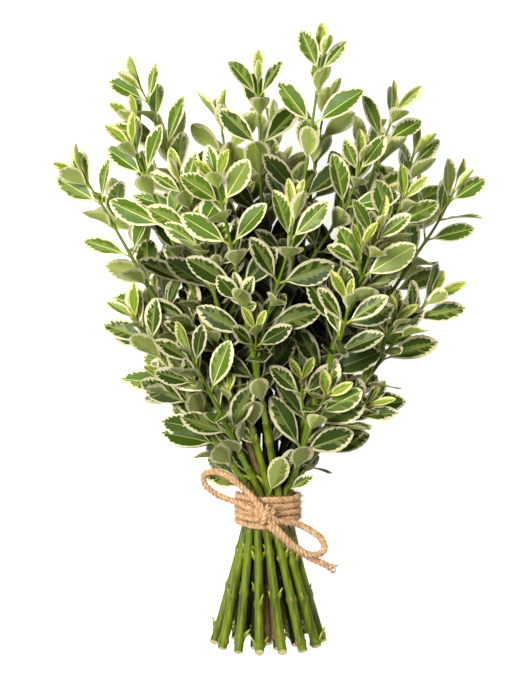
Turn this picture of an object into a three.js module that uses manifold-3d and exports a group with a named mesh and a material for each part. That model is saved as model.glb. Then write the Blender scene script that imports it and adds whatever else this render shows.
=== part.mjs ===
// A hand-tied bunch of cut variegated euonymus, lying on its back on a level floor.
// Every cut stem runs from its foot, through the tie, into its own leafy shoot.
// The bunch is modelled along its own axes, in millimetres, and then leaned to rest on the floor:
// x runs across it, y from the cut feet to the tips, and z out of its front.

import * as THREE from 'three';
import { mergeVertices } from 'three/addons/utils/BufferGeometryUtils.js';
import Module from 'manifold-3d';

const wasm = await Module();
wasm.setup();

// The bunch as a whole
const TIE_HEIGHT = 113;
const LEAN = THREE.MathUtils.degToRad(8);
const AXIS_LIFT = 49;
const HEAD_HALF_WIDTH = 170;
const HEAD_FLATNESS = 0.65;
const HEAD_START = { height: 126, halfWidth: 22, slope: 0.6 };
const GAP = 0.3;

// The packing of the stems inside the tie, ring by ring
const SLOT_RINGS = [
  { count: 3, radius: 4.1, turn: 0 },
  { count: 9, radius: 10.85, turn: 20 },
  { count: 15, radius: 17.8, turn: 6 },
];
const SPREAD_BELOW_TIE = 1.45;
const SPIRAL = 1.15;
const WAIST_SHARE = 0.1;
const WAIST_SOFTNESS = 0.06;
const SPIRAL_ABOVE_TIE = THREE.MathUtils.degToRad(30);
const LEAST_GAIN = 1e-6;

// Stems
const FOOT_RADIUS = 3.6;
const STEM_RADIUS = 3.25;
const STEM_TOP_RADIUS = 3;
const SHOOT_RADIUS = 2.5;
const TIP_RADIUS = 0.9;
const STEM_SIDES = 6;
const TWIG_SIDES = 3;
const TIE_HALF_HEIGHT = 14;
const SHEAF_HEIGHTS = [0, 52, 86, TIE_HEIGHT - TIE_HALF_HEIGHT + 1, TIE_HEIGHT + TIE_HALF_HEIGHT];
const LEVEL_STEP = 24;
const RELAX_ROUNDS = 60;
const SMOOTHING = 0.2;
const ROOM_BETWEEN_STEMS = 0.5;
const SIDEWAYS_ROOM = 0.022;
const SHORTEST_SPAN = 2;

// Leaves, their length taken from the middle of the twig
const LEAF_LENGTH = 46;
const LEAF_WIDTH = 21.5;
const LEAF_THICKNESS = 1.3;
const LEAF_WIDEST = 0.6;
const LEAF_THICKEST = 0.25;
const ROOT_DEPTH = 0.1;
const LEAF_CLEARANCE = 0.35;
const FLOOR_CLEARANCE = 0.4;
const LEAF_ANGLES = [18, 30, 40, 48, 52, 55, 57];
const CROWDED = { from: 130, to: 240, angle: 34, fullAngle: 60 };
const LEAF_GROWTH = [0.5, 0.68, 0.84, 0.95, 1];
const INTERNODE_GROWTH = [0.4, 0.6, 0.8, 1];
const ROLL_WANDER = 14;
const FACE_FRONT = 0.72;
const FIRST_PAIR_BELOW_TIP = 4;
const BARE_ABOVE_STEM = 6;
const LEAF_ANGLE_WANDER = 10;
const SMALLEST_SHARE = 0.9;
const SIZE_WANDER = 0.18;
const TRIES = [
  { roll: 0, angle: 0, size: 1 },
  { roll: 16, angle: -6, size: 1 },
  { roll: -16, angle: 6, size: 1 },
  { roll: 0, angle: -16, size: 0.95 },
  { roll: 32, angle: 0, size: 0.9 },
  { roll: -32, angle: 0, size: 0.85 },
  { roll: 0, angle: 12, size: 0.8 },
];

// Side twigs
const SIDE_TWIG_CHANCE = 0.2;
const SIDE_TWIG_FIRST_NODE = 3;
const SIDE_TWIG_LENGTH = 34;
const SIDE_TWIG_ANGLE = 36;
const SIDE_TWIG_RADIUS = 1.3;
const SIDE_TWIG_TIP_RADIUS = 0.72;
const SIDE_TWIG_ROLL = 0.5;
const SIDE_TWIG_BEND = 0.35;
const SIDE_TWIG_CLEARANCE = 0.5;
const SIDE_PAIRS = { from: 10, internode: 16, vigour: 0.85 };
const SHORTEST_TWIG_SHARE = 0.8;
const TWIG_LENGTH_WANDER = 0.7;

// The way out of the bunch: its sideways lean, its depth, and the depth where the back begins
const OUTWARD = { sideways: 0.6, depth: 110, bias: 0.8, backBegins: -20 };

// Twine
const TWINE_RADIUS = 2.5;
const TWINE_SIDES = 3;
const WRAP_TURNS = 4.3;
const WRAP_PITCH = 2 * TWINE_RADIUS + 0.4;
const WRAP_STEPS_PER_TURN = 15;
const WRAP_CLEARANCE = 1.05;
const WRAP_RADIUS = SLOT_RINGS[2].radius + STEM_RADIUS + TWINE_RADIUS + WRAP_CLEARANCE;
const WRAP_START = Math.PI / 2 - 0.4;
const LOOP_STEPS = 22;
const TAIL_STEPS = 10;
const KNOT_SEGMENTS = { around: 10, down: 7 };
const KNOT = { x: -2, y: 113, z: 32.2, halfWidth: 9.5, halfHeight: 9, halfDepth: 5.2 };

// Each shoot: its tip across, along and out of the front; the slope of its last stretch as a share
// of its mean slope; the space between leaf pairs; the height where its leaves begin; and whether
// the first pair below the tip spreads sideways (0) or front to back (1).
const SHOOTS = [
  { name: 'front_middle', tip: [-40, 390, 98], flare: 1.2, internode: 20, leafy: 188, turn: 0 },
  { name: 'front_low_left', tip: [-62, 248, 56], flare: 1.1, internode: 20, leafy: 150, turn: 1 },
  { name: 'front_right', tip: [86, 350, 84], flare: 1.0, internode: 23, leafy: 165, turn: 1 },
  { name: 'tall_middle', tip: [43, 482, 36], flare: 0.7, internode: 30, leafy: 205, turn: 1 },
  { name: 'top_middle', tip: [-8, 460, 6], flare: 0.6, internode: 28, leafy: 205, turn: 1 },
  { name: 'top_left', tip: [-102, 455, 12], flare: 1.1, internode: 28, leafy: 190, turn: 1 },
  { name: 'far_left', tip: [-150, 386, 12], flare: 0.95, internode: 27, leafy: 165, turn: 0 },
  { name: 'upper_left', tip: [-108, 412, 48], flare: 0.9, internode: 25, leafy: 180, turn: 0 },
  { name: 'top_right', tip: [102, 438, 10], flare: 0.7, internode: 27, leafy: 190, turn: 0 },
  { name: 'upper_right', tip: [118, 402, -12], flare: 0.6, internode: 26, leafy: 180, turn: 1 },
  { name: 'far_right', tip: [150, 374, 10], flare: 1.0, internode: 25, leafy: 165, turn: 1 },
  { name: 'low_right', tip: [132, 292, 38], flare: 0.8, internode: 24, leafy: 150, turn: 0 },
  { name: 'low_left', tip: [-108, 274, 26], flare: 0.8, internode: 24, leafy: 150, turn: 0 },
  { name: 'foot_left', tip: [-76, 222, 24], flare: 0.8, internode: 22, leafy: 142, turn: 0 },
  { name: 'foot_right', tip: [76, 216, 22], flare: 0.8, internode: 22, leafy: 142, turn: 0 },
  { name: 'front_low_right', tip: [48, 214, 50], flare: 0.9, internode: 20, leafy: 138, turn: 0 },
  { name: 'inner_left', tip: [-70, 385, 62], flare: 1.0, internode: 24, leafy: 175, turn: 1 },
  { name: 'inner_right', tip: [108, 372, 48], flare: 0.9, internode: 24, leafy: 175, turn: 0 },
  { name: 'back_far_left', tip: [-122, 356, -38], flare: 0.9, internode: 25, leafy: 160, turn: 0 },
  { name: 'back_left', tip: [-85, 408, -58], flare: 0.9, internode: 26, leafy: 175, turn: 1 },
  { name: 'back_inner_left', tip: [-40, 428, -30], flare: 0.9, internode: 28, leafy: 205, turn: 0 },
  { name: 'back_middle', tip: [4, 418, -66], flare: 0.9, internode: 26, leafy: 185, turn: 1 },
  { name: 'back_inner_right', tip: [46, 440, -34], flare: 0.9, internode: 28, leafy: 205, turn: 0 },
  { name: 'back_right', tip: [84, 406, -58], flare: 0.9, internode: 26, leafy: 175, turn: 1 },
  { name: 'back_far_right', tip: [120, 356, -40], flare: 0.9, internode: 25, leafy: 160, turn: 0 },
  { name: 'back_low_left', tip: [-62, 262, -52], flare: 0.8, internode: 23, leafy: 148, turn: 0 },
  { name: 'back_low_right', tip: [66, 254, -50], flare: 0.8, internode: 23, leafy: 148, turn: 0 },
];

// The bow's strands, point by point as they lie
const LEFT_LOOP = [
  [-4, 118, 34], [-13, 128, 33.5], [-21, 135.5, 32], [-31, 143, 30], [-42, 147, 27], [-51, 144.5, 24.5],
  [-51.5, 138, 23], [-45, 130, 22], [-35, 124.5, 21.5], [-26, 121.5, 22], [-18, 118.5, 26], [-8, 115, 31.5],
];
const RIGHT_LOOP = [
  [6, 108, 32], [16, 105.5, 27], [25, 102.5, 20.5], [35.5, 97, 20.5], [44, 90, 23], [45.5, 83.5, 26],
  [40, 79.5, 29], [31, 81, 32], [22.5, 86.5, 34.5], [13, 96, 36], [3, 107, 35.8],
];
const TAIL = [
  [1, 104, 31], [6.5, 98, 29.2], [14, 91.4, 28], [22, 84.5, 27.2], [31, 78, 25.4],
  [39, 73.8, 24.8], [47.5, 69.8, 24.4], [55, 66, 24],
];

const materials = {
  stem: new THREE.MeshStandardMaterial({ color: 0x6f8f2c, roughness: 0.55, metalness: 0 }),
  leaves: new THREE.MeshStandardMaterial({ color: 0x7f9a62, roughness: 0.5, metalness: 0 }),
  twine: new THREE.MeshStandardMaterial({ color: 0xc99f6f, roughness: 0.95, metalness: 0 }),
};

function seededRandom(...keys) {
  let state = 2463534242;
  const step = () => {
    state = (Math.imul(state, 1664525) + 1013904223) >>> 0;
  };
  for (const key of keys) {
    state = (state ^ key) >>> 0;
    step();
    step();
  }
  return () => {
    step();
    return state / 4294967296;
  };
}

function pick(values, index) {
  return values[Math.min(index, values.length - 1)];
}

// Where the stems pass the tie

function tieSlots() {
  const slots = [];
  for (const ring of SLOT_RINGS) {
    for (let i = 0; i < ring.count; i += 1) {
      const angle = THREE.MathUtils.degToRad(ring.turn + (360 * i) / ring.count);
      slots.push(new THREE.Vector2(Math.cos(angle), Math.sin(angle)).multiplyScalar(ring.radius));
    }
  }
  return slots;
}

// The place in the tie that a shoot would come from if the whole bunch were turned evenly
function homeInTie(shoot) {
  const [x, y, z] = shoot.tip;
  const grown = HEAD_START.halfWidth + HEAD_START.slope * (y - HEAD_START.height);
  const halfWidth = Math.min(grown, HEAD_HALF_WIDTH);
  const place = new THREE.Vector2(x / halfWidth, z / (HEAD_FLATNESS * halfWidth));
  place.clampLength(0, 1).multiplyScalar(SLOT_RINGS[2].radius);
  return place.rotateAround(new THREE.Vector2(), -SPIRAL_ABOVE_TIE);
}

// Swaps slots between shoots for as long as that brings them nearer to their homes
function matchSlots(shoots, slots) {
  const homes = shoots.map(homeInTie);
  const matched = shoots.map((_, i) => slots[i]);
  const cost = (i, slot) => homes[i].distanceToSquared(slot);
  let improved = true;
  while (improved) {
    improved = false;
    for (let i = 0; i < matched.length; i += 1) {
      for (let j = i + 1; j < matched.length; j += 1) {
        const now = cost(i, matched[i]) + cost(j, matched[j]);
        const swapped = cost(i, matched[j]) + cost(j, matched[i]);
        if (swapped < now - LEAST_GAIN) {
          [matched[i], matched[j]] = [matched[j], matched[i]];
          improved = true;
        }
      }
    }
  }
  return matched;
}

// From the feet up through the tie the stems stand like the straws of a sheaf:
// spread out past its waist, and turned about its axis
function placeInSheaf(slot, height) {
  const drop = (TIE_HEIGHT - height) / TIE_HEIGHT;
  const past = Math.max(Math.abs(drop) - WAIST_SHARE, 0);
  const spread = 1 + SPREAD_BELOW_TIE * past ** 2 / (past + WAIST_SOFTNESS);
  const turned = SPIRAL * drop;
  const x = slot.x * spread + slot.y * turned;
  const z = slot.y * spread - slot.x * turned;
  return new THREE.Vector3(x, height, z);
}

// Above the tie a stem bends in one easy curve from its slot to its tip
function placeAboveTie(shoot, slot, start, height) {
  const tip = new THREE.Vector3(...shoot.tip);
  const t = (height - start.y) / (tip.y - start.y);
  const turned = SPIRAL * (tip.y - start.y) / TIE_HEIGHT;
  const leaving = new THREE.Vector3(-slot.y * turned, 0, slot.x * turned);
  const arriving = tip.clone().sub(start).multiplyScalar(shoot.flare);
  const point = start.clone().lerp(tip, 3 * t ** 2 - 2 * t ** 3)
    .addScaledVector(leaving, t ** 3 - 2 * t ** 2 + t)
    .addScaledVector(arriving, t ** 3 - t ** 2);
  return point.setY(height);
}

function firstPath(shoot, slot) {
  const points = SHEAF_HEIGHTS.map((height) => placeInSheaf(slot, height));
  const start = points.at(-1);
  for (let height = start.y + LEVEL_STEP; height < shoot.tip[1] - LEVEL_STEP / 2; height += LEVEL_STEP) {
    points.push(placeAboveTie(shoot, slot, start, height));
  }
  points.push(new THREE.Vector3(...shoot.tip));
  return points;
}

// Stems and shoots that pass too near each other at the same height push one another aside
function makeRoom(paths) {
  const firstFree = SHEAF_HEIGHTS.length;
  for (let round = 0; round < RELAX_ROUNDS; round += 1) {
    for (const path of paths) {
      for (let k = firstFree; k < path.length - 1; k += 1) {
        const middle = path[k - 1].clone().add(path[k + 1]).multiplyScalar(0.5);
        path[k].x += SMOOTHING * (middle.x - path[k].x);
        path[k].z += SMOOTHING * (middle.z - path[k].z);
      }
    }
    for (let i = 0; i < paths.length; i += 1) {
      for (let j = i + 1; j < paths.length; j += 1) {
        const shared = Math.min(paths[i].length, paths[j].length) - 1;
        for (let k = firstFree; k < shared; k += 1) {
          pushApart(paths[i][k], paths[j][k]);
        }
      }
    }
  }
}

function pushApart(a, b) {
  const room = 2 * STEM_RADIUS + ROOM_BETWEEN_STEMS + SIDEWAYS_ROOM * (a.y - TIE_HEIGHT);
  const across = new THREE.Vector2(a.x - b.x, a.z - b.z);
  const missing = room - across.length();
  if (missing <= 0) return;
  across.setLength(missing / 2);
  a.x += across.x;
  a.z += across.y;
  b.x -= across.x;
  b.z -= across.y;
}

// Measuring along a path

function pathLengths(points) {
  const lengths = [0];
  for (let i = 1; i < points.length; i += 1) {
    lengths.push(lengths[i - 1] + points[i].distanceTo(points[i - 1]));
  }
  return lengths;
}

function alongPath(points, distance) {
  const lengths = pathLengths(points);
  let i = 1;
  while (i < points.length - 1 && lengths[i] < distance) i += 1;
  const share = (distance - lengths[i - 1]) / (lengths[i] - lengths[i - 1]);
  const tangent = points[i].clone().sub(points[i - 1]).normalize();
  return { point: points[i - 1].clone().lerp(points[i], share), tangent };
}

function distanceAtHeight(points, height) {
  const lengths = pathLengths(points);
  let i = 1;
  while (i < points.length - 1 && points[i].y < height) i += 1;
  const share = (height - points[i - 1].y) / (points[i].y - points[i - 1].y);
  return lengths[i - 1] + share * (lengths[i] - lengths[i - 1]);
}

// The piece of a path between two distances, with the points that lie well inside it
function pathPiece(points, from, to) {
  const lengths = pathLengths(points);
  const inner = points.filter((_, i) => (
    lengths[i] > from + SHORTEST_SPAN && lengths[i] < to - SHORTEST_SPAN
  ));
  return [alongPath(points, from).point, ...inner, alongPath(points, to).point];
}

// Solids

function moveVertices(geometry, place) {
  const position = geometry.getAttribute('position');
  const vertex = new THREE.Vector3();
  for (let i = 0; i < position.count; i += 1) {
    vertex.fromBufferAttribute(position, i);
    const moved = place(vertex);
    position.setXYZ(i, moved.x, moved.y, moved.z);
  }
  return geometry;
}

// A limb is a cylinder whose rings are moved out along a path and tapered
function limbGeometry(points, startRadius, endRadius, sides) {
  const spans = points.length - 1;
  const lengths = pathLengths(points);
  const frames = points.map((_, i) => ringFrame(points, i));
  const geometry = new THREE.CylinderGeometry(1, 1, 1, sides, spans);
  return moveVertices(geometry, (vertex) => {
    const ring = Math.round((vertex.y + 0.5) * spans);
    const share = lengths[ring] / lengths[spans];
    const radius = THREE.MathUtils.lerp(startRadius, endRadius, share);
    return points[ring].clone()
      .addScaledVector(frames[ring].side, -vertex.x * radius)
      .addScaledVector(frames[ring].front, vertex.z * radius);
  });
}

function ringFrame(points, i) {
  const before = points[Math.max(i - 1, 0)];
  const after = points[Math.min(i + 1, points.length - 1)];
  const tangent = after.clone().sub(before).normalize();
  const side = new THREE.Vector3(0, 0, 1).cross(tangent).normalize();
  const front = tangent.clone().cross(side);
  return { side, front };
}

// A leaf is the coarsest sphere of all, with two poles and three corners round its middle.
// The poles become its root and tip, two corners its sides, and the third its keel near the root.
function leafGeometry(leaf, swell = 0, lift = 0) {
  const across = leaf.normal.clone().cross(leaf.direction);
  const halfWidth = leaf.width / 2 + swell;
  const geometry = new THREE.SphereGeometry(1, 3, 2);
  return moveVertices(geometry, (corner) => {
    const place = leaf.root.clone().addScaledVector(leaf.normal, lift);
    if (corner.y < -0.5) return place;
    if (corner.y > 0.5) return place.addScaledVector(leaf.direction, leaf.length + swell);
    if (corner.x < -0.5) {
      return place.addScaledVector(leaf.direction, LEAF_THICKEST * leaf.length)
        .addScaledVector(leaf.normal, -LEAF_THICKNESS);
    }
    return place.addScaledVector(leaf.direction, LEAF_WIDEST * leaf.length)
      .addScaledVector(across, Math.sign(corner.z) * halfWidth);
  });
}

function trianglesOf(geometry) {
  const plain = geometry.index ? geometry.toNonIndexed() : geometry;
  const position = plain.getAttribute('position');
  const triangles = [];
  for (let i = 0; i < position.count; i += 3) {
    triangles.push([0, 1, 2].map((k) => new THREE.Vector3().fromBufferAttribute(position, i + k)));
  }
  return triangles;
}

function toSolid(geometry) {
  const bare = geometry.clone();
  bare.deleteAttribute('normal');
  bare.deleteAttribute('uv');
  const merged = mergeVertices(bare, 1e-4);
  const mesh = new wasm.Mesh({
    numProp: 3,
    vertProperties: new Float32Array(merged.getAttribute('position').array),
    triVerts: new Uint32Array(merged.index.array),
  });
  return new wasm.Manifold(mesh);
}

function toGeometry(solid) {
  const mesh = solid.getMesh();
  const geometry = new THREE.BufferGeometry();
  geometry.setAttribute('position', new THREE.BufferAttribute(mesh.vertProperties, 3));
  geometry.setIndex(new THREE.BufferAttribute(mesh.triVerts, 1));
  return geometry;
}

// Keeping the masses apart: a store of the triangles that are already taken, by the cubes they pass

const CUBE = 14;
const taken = new Map();

function cubesOf(triangle) {
  const box = new THREE.Box3().setFromPoints(triangle);
  const keys = [];
  for (let x = Math.floor(box.min.x / CUBE); x <= Math.floor(box.max.x / CUBE); x += 1) {
    for (let y = Math.floor(box.min.y / CUBE); y <= Math.floor(box.max.y / CUBE); y += 1) {
      for (let z = Math.floor(box.min.z / CUBE); z <= Math.floor(box.max.z / CUBE); z += 1) {
        keys.push(`${x},${y},${z}`);
      }
    }
  }
  return keys;
}

function take(owner, geometry) {
  for (const triangle of trianglesOf(geometry)) {
    for (const key of cubesOf(triangle)) {
      if (!taken.has(key)) taken.set(key, []);
      taken.get(key).push({ owner, triangle });
    }
  }
}

// Whether a solid crosses nothing but what it grows on
function isFree(geometry, parents) {
  return trianglesOf(geometry).every((triangle) => cubesOf(triangle).every((key) => {
    const others = taken.get(key) ?? [];
    return others.every((other) => parents.includes(other.owner) || !trianglesCross(triangle, other.triangle));
  }));
}

function trianglesCross(a, b) {
  for (let i = 0; i < 3; i += 1) {
    if (edgePierces(a[i], a[(i + 1) % 3], b)) return true;
    if (edgePierces(b[i], b[(i + 1) % 3], a)) return true;
  }
  return false;
}

function edgePierces(from, to, [a, b, c]) {
  const volume = (p, q, r, s) => {
    const qx = q.x - p.x;
    const qy = q.y - p.y;
    const qz = q.z - p.z;
    const rx = r.x - p.x;
    const ry = r.y - p.y;
    const rz = r.z - p.z;
    const sx = s.x - p.x;
    const sy = s.y - p.y;
    const sz = s.z - p.z;
    return qx * (ry * sz - rz * sy) - qy * (rx * sz - rz * sx) + qz * (rx * sy - ry * sx);
  };
  if (volume(from, a, b, c) > 0 === volume(to, a, b, c) > 0) return false;
  const side = volume(from, to, a, b) > 0;
  return side === volume(from, to, b, c) > 0 && side === volume(from, to, c, a) > 0;
}

// The rule by which a shoot puts out its leaves

function heightAboveFloor(point) {
  return AXIS_LIFT + point.y * Math.sin(LEAN) + point.z * Math.cos(LEAN);
}

function outwardAt(point) {
  const bias = point.z < OUTWARD.backBegins ? -OUTWARD.bias : OUTWARD.bias;
  const sideways = OUTWARD.sideways * (point.x / HEAD_HALF_WIDTH);
  return new THREE.Vector3(sideways, 0, point.z / OUTWARD.depth + bias).normalize();
}

// A leaf that would dip into the floor is bent up until its tip clears it, and turned flat
function raiseFromFloor(leaf) {
  const up = new THREE.Vector3(0, Math.sin(LEAN), Math.cos(LEAN));
  const tipHeight = heightAboveFloor(leaf.root) + leaf.length * leaf.direction.dot(up);
  const missing = FLOOR_CLEARANCE - tipHeight;
  if (missing > 0) {
    leaf.direction.addScaledVector(up, missing / leaf.length).normalize();
    const flat = up.clone().addScaledVector(leaf.direction, -up.dot(leaf.direction));
    if (leaf.normal.dot(up) < 0) flat.negate();
    leaf.normal.copy(flat.normalize());
  }
}

function clearsFloor(geometry) {
  return trianglesOf(geometry).flat().every((point) => heightAboveFloor(point) > 0);
}

function makeLeaf(place, radial, angle, length, width) {
  const { point, tangent } = place;
  const outward = outwardAt(point);
  const direction = tangent.clone().multiplyScalar(Math.cos(angle));
  direction.addScaledVector(radial, Math.sin(angle));
  const upper = tangent.clone().multiplyScalar(Math.sin(angle));
  upper.addScaledVector(radial, -Math.cos(angle));
  const toFront = outward.clone().addScaledVector(direction, -outward.dot(direction)).normalize();
  const turn = FACE_FRONT * (1 - Math.abs(radial.dot(outward)) ** 2);
  const normal = upper.multiplyScalar(1 - turn).addScaledVector(toFront, turn);
  normal.addScaledVector(direction, -normal.dot(direction)).normalize();
  const root = point.clone().addScaledVector(direction, -ROOT_DEPTH * place.radius);
  const leaf = { root, direction, normal, length, width };
  raiseFromFloor(leaf);
  return leaf;
}

// The direction out of the twig, at a roll measured from its sideways direction
function radialAt(place, roll) {
  const outward = outwardAt(place.point);
  const side = outward.clone().cross(place.tangent).normalize();
  return side.applyAxisAngle(place.tangent, roll);
}

// Each leaf is tried as it would grow, and then bent aside; where nothing is free it is left out
function growLeaf(parents, place, roll, angle, size) {
  for (const attempt of TRIES) {
    const radial = radialAt(place, roll + THREE.MathUtils.degToRad(attempt.roll));
    const lean = THREE.MathUtils.degToRad(angle + attempt.angle);
    const grown = size * attempt.size;
    const leaf = makeLeaf(place, radial, lean, LEAF_LENGTH * grown, LEAF_WIDTH * grown);
    const free = [-1, 1].every((side) => {
      const probe = leafGeometry(leaf, LEAF_CLEARANCE, side * LEAF_CLEARANCE);
      return clearsFloor(probe) && isFree(probe, parents);
    });
    if (free) return leaf;
  }
  return null;
}

// The leaf pairs along a twig, from its tip down, each pair a quarter turn from the next
function pairPlaces(points, radii, leafyFrom, internode, firstTurn) {
  const total = pathLengths(points).at(-1);
  const places = [];
  let distance = total - FIRST_PAIR_BELOW_TIP;
  for (let i = 0; distance > leafyFrom; i += 1) {
    const radius = THREE.MathUtils.mapLinear(distance, leafyFrom, total, ...radii);
    places.push({ ...alongPath(points, distance), radius, turn: firstTurn + i, index: i });
    distance -= internode * pick(INTERNODE_GROWTH, i);
  }
  return places;
}

function growPair(twig, place, seed, vigour) {
  const leaves = [];
  const pair = `pair ${seed} ${place.index}`;
  for (const side of [0, 1]) {
    const random = seededRandom(seed, place.index, side);
    const wander = THREE.MathUtils.degToRad(ROLL_WANDER * (2 * random() - 1));
    const roll = Math.PI * (place.turn / 2 + side) + wander;
    const widest = THREE.MathUtils.mapLinear(
      place.point.y, CROWDED.from, CROWDED.to, CROWDED.angle, CROWDED.fullAngle,
    );
    const wandering = LEAF_ANGLE_WANDER * (random() - 0.5);
    const angle = Math.min(pick(LEAF_ANGLES, place.index), widest) + wandering;
    const share = SMALLEST_SHARE + SIZE_WANDER * random();
    const size = vigour * pick(LEAF_GROWTH, place.index) * share;
    const leaf = growLeaf([twig, pair], place, roll, angle, size);
    if (leaf) {
      leaves.push(leaf);
      take(pair, leafGeometry(leaf));
    }
  }
  return leaves;
}

// A side twig leaves the axil of a leaf and carries two or three pairs of its own
function sideTwigPoints(place, roll, random) {
  const radial = radialAt(place, roll);
  const angle = THREE.MathUtils.degToRad(SIDE_TWIG_ANGLE);
  const length = SIDE_TWIG_LENGTH * (SHORTEST_TWIG_SHARE + TWIG_LENGTH_WANDER * random());
  const direction = place.tangent.clone().multiplyScalar(Math.cos(angle));
  direction.addScaledVector(radial, Math.sin(angle));
  const points = [place.point.clone()];
  for (const share of [0.5, 1]) {
    const bend = direction.clone().lerp(place.tangent, SIDE_TWIG_BEND * share).normalize();
    points.push(place.point.clone().addScaledVector(bend, length * share));
  }
  return points;
}

function growSideTwig(parent, place, seed) {
  const random = seededRandom(seed, place.index, 7);
  if (place.index < SIDE_TWIG_FIRST_NODE || random() > SIDE_TWIG_CHANCE) return null;
  const side = random() < 0.5 ? 0 : 1;
  const roll = Math.PI * (place.turn / 2 + side) + SIDE_TWIG_ROLL;
  const points = sideTwigPoints(place, roll, random);
  const twig = limbGeometry(points, SIDE_TWIG_RADIUS, SIDE_TWIG_TIP_RADIUS, TWIG_SIDES);
  const probe = limbGeometry(
    points, SIDE_TWIG_RADIUS + SIDE_TWIG_CLEARANCE, TIP_RADIUS + SIDE_TWIG_CLEARANCE, TWIG_SIDES,
  );
  const name = `side twig ${seed} ${place.index}`;
  if (!isFree(probe, [parent, `pair ${seed} ${place.index}`]) || !clearsFloor(probe)) return null;
  take(name, twig);
  return { name, points, twig };
}

function growFoliage(index, shoot, points) {
  const axis = `axis ${index}`;
  const leafyFrom = distanceAtHeight(points, shoot.leafy) + BARE_ABOVE_STEM;
  const leaves = [];
  const twigs = [];
  const radii = [SHOOT_RADIUS, TIP_RADIUS];
  for (const place of pairPlaces(points, radii, leafyFrom, shoot.internode, shoot.turn)) {
    leaves.push(...growPair(axis, place, index, 1));
    const side = growSideTwig(axis, place, index);
    if (side) {
      twigs.push(side.twig);
      const sideRadii = [SIDE_TWIG_RADIUS, TIP_RADIUS];
      const sidePlaces = pairPlaces(side.points, sideRadii, SIDE_PAIRS.from, SIDE_PAIRS.internode, 0);
      for (const sidePlace of sidePlaces) {
        const seed = (index + 1) * 100 + place.index;
        leaves.push(...growPair(side.name, sidePlace, seed, SIDE_PAIRS.vigour));
      }
    }
  }
  return { leaves, twigs };
}

// Twine

class WrapCurve extends THREE.Curve {
  getPoint(t, target = new THREE.Vector3()) {
    const turned = Math.PI * 2 * WRAP_TURNS * t + WRAP_START;
    const y = TIE_HEIGHT + WRAP_PITCH * WRAP_TURNS * (t - 0.5);
    return target.set(WRAP_RADIUS * Math.cos(turned), y, WRAP_RADIUS * Math.sin(turned));
  }
}

function twineGeometry(curve, steps) {
  const section = new THREE.Shape().absarc(0, 0, TWINE_RADIUS, 0, Math.PI * 2);
  return new THREE.ExtrudeGeometry(section, {
    steps,
    curveSegments: TWINE_SIDES,
    bevelEnabled: false,
    extrudePath: curve,
  });
}

function knotGeometry(margin) {
  const geometry = new THREE.SphereGeometry(1, KNOT_SEGMENTS.around, KNOT_SEGMENTS.down);
  return moveVertices(geometry, (vertex) => new THREE.Vector3(
    KNOT.x + vertex.x * (KNOT.halfWidth + margin),
    KNOT.y + vertex.y * (KNOT.halfHeight + margin),
    KNOT.z + vertex.z * (KNOT.halfDepth + margin),
  ));
}

function strandGeometry(points, steps) {
  const curve = new THREE.CatmullRomCurve3(points.map((point) => new THREE.Vector3(...point)));
  const strand = toSolid(twineGeometry(curve, steps));
  return toGeometry(strand.subtract(toSolid(knotGeometry(GAP))));
}

// Putting the bunch together

const bunch = new THREE.Group();

function addNode(name, geometry, material) {
  const mesh = new THREE.Mesh(geometry, material);
  mesh.name = name;
  bunch.add(mesh);
}

function addTwine() {
  const pieces = [
    ['twine_wrap', twineGeometry(new WrapCurve(), Math.round(WRAP_TURNS * WRAP_STEPS_PER_TURN))],
    ['twine_knot', knotGeometry(0)],
    ['twine_loop_left', strandGeometry(LEFT_LOOP, LOOP_STEPS)],
    ['twine_loop_right', strandGeometry(RIGHT_LOOP, LOOP_STEPS)],
    ['twine_tail', strandGeometry(TAIL, TAIL_STEPS)],
  ];
  for (const [name, geometry] of pieces) {
    addNode(name, geometry, materials.twine);
    take(name, geometry);
  }
}

function growBunch() {
  const slots = matchSlots(SHOOTS, tieSlots());
  const paths = SHOOTS.map((shoot, i) => firstPath(shoot, slots[i]));
  makeRoom(paths);
  const shares = paths.map((points, i) => distanceAtHeight(points, SHOOTS[i].leafy));
  const axes = paths.map((points, i) => {
    const end = pathLengths(points).at(-1);
    const piece = pathPiece(points, shares[i] + GAP, end);
    return limbGeometry(piece, SHOOT_RADIUS, TIP_RADIUS, TWIG_SIDES);
  });
  paths.forEach((points, i) => {
    const piece = pathPiece(points, 0, shares[i]);
    const stem = limbGeometry(piece, FOOT_RADIUS, STEM_TOP_RADIUS, STEM_SIDES);
    addNode(`stem_${SHOOTS[i].name}`, stem, materials.stem);
    take(`stem ${i}`, stem);
    take(`axis ${i}`, axes[i]);
  });
  SHOOTS.forEach((shoot, i) => {
    const { leaves, twigs } = growFoliage(i, shoot, paths[i]);
    const parts = [axes[i], ...twigs, ...leaves.map((leaf) => leafGeometry(leaf))];
    const fused = wasm.Manifold.union(parts.map(toSolid));
    addNode(`leaves_${shoot.name}`, toGeometry(fused), materials.leaves);
  });
}

// Leans the bunch back and sets it on the floor, centred over the origin
function layDown() {
  bunch.rotation.x = LEAN;
  bunch.updateMatrixWorld(true);
  const box = new THREE.Box3().setFromObject(bunch, true);
  const centre = box.getCenter(new THREE.Vector3());
  bunch.position.set(-centre.x, -centre.y, -box.min.z);
  bunch.updateMatrixWorld(true);
}

addTwine();
growBunch();
layDown();

export default bunch;
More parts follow.
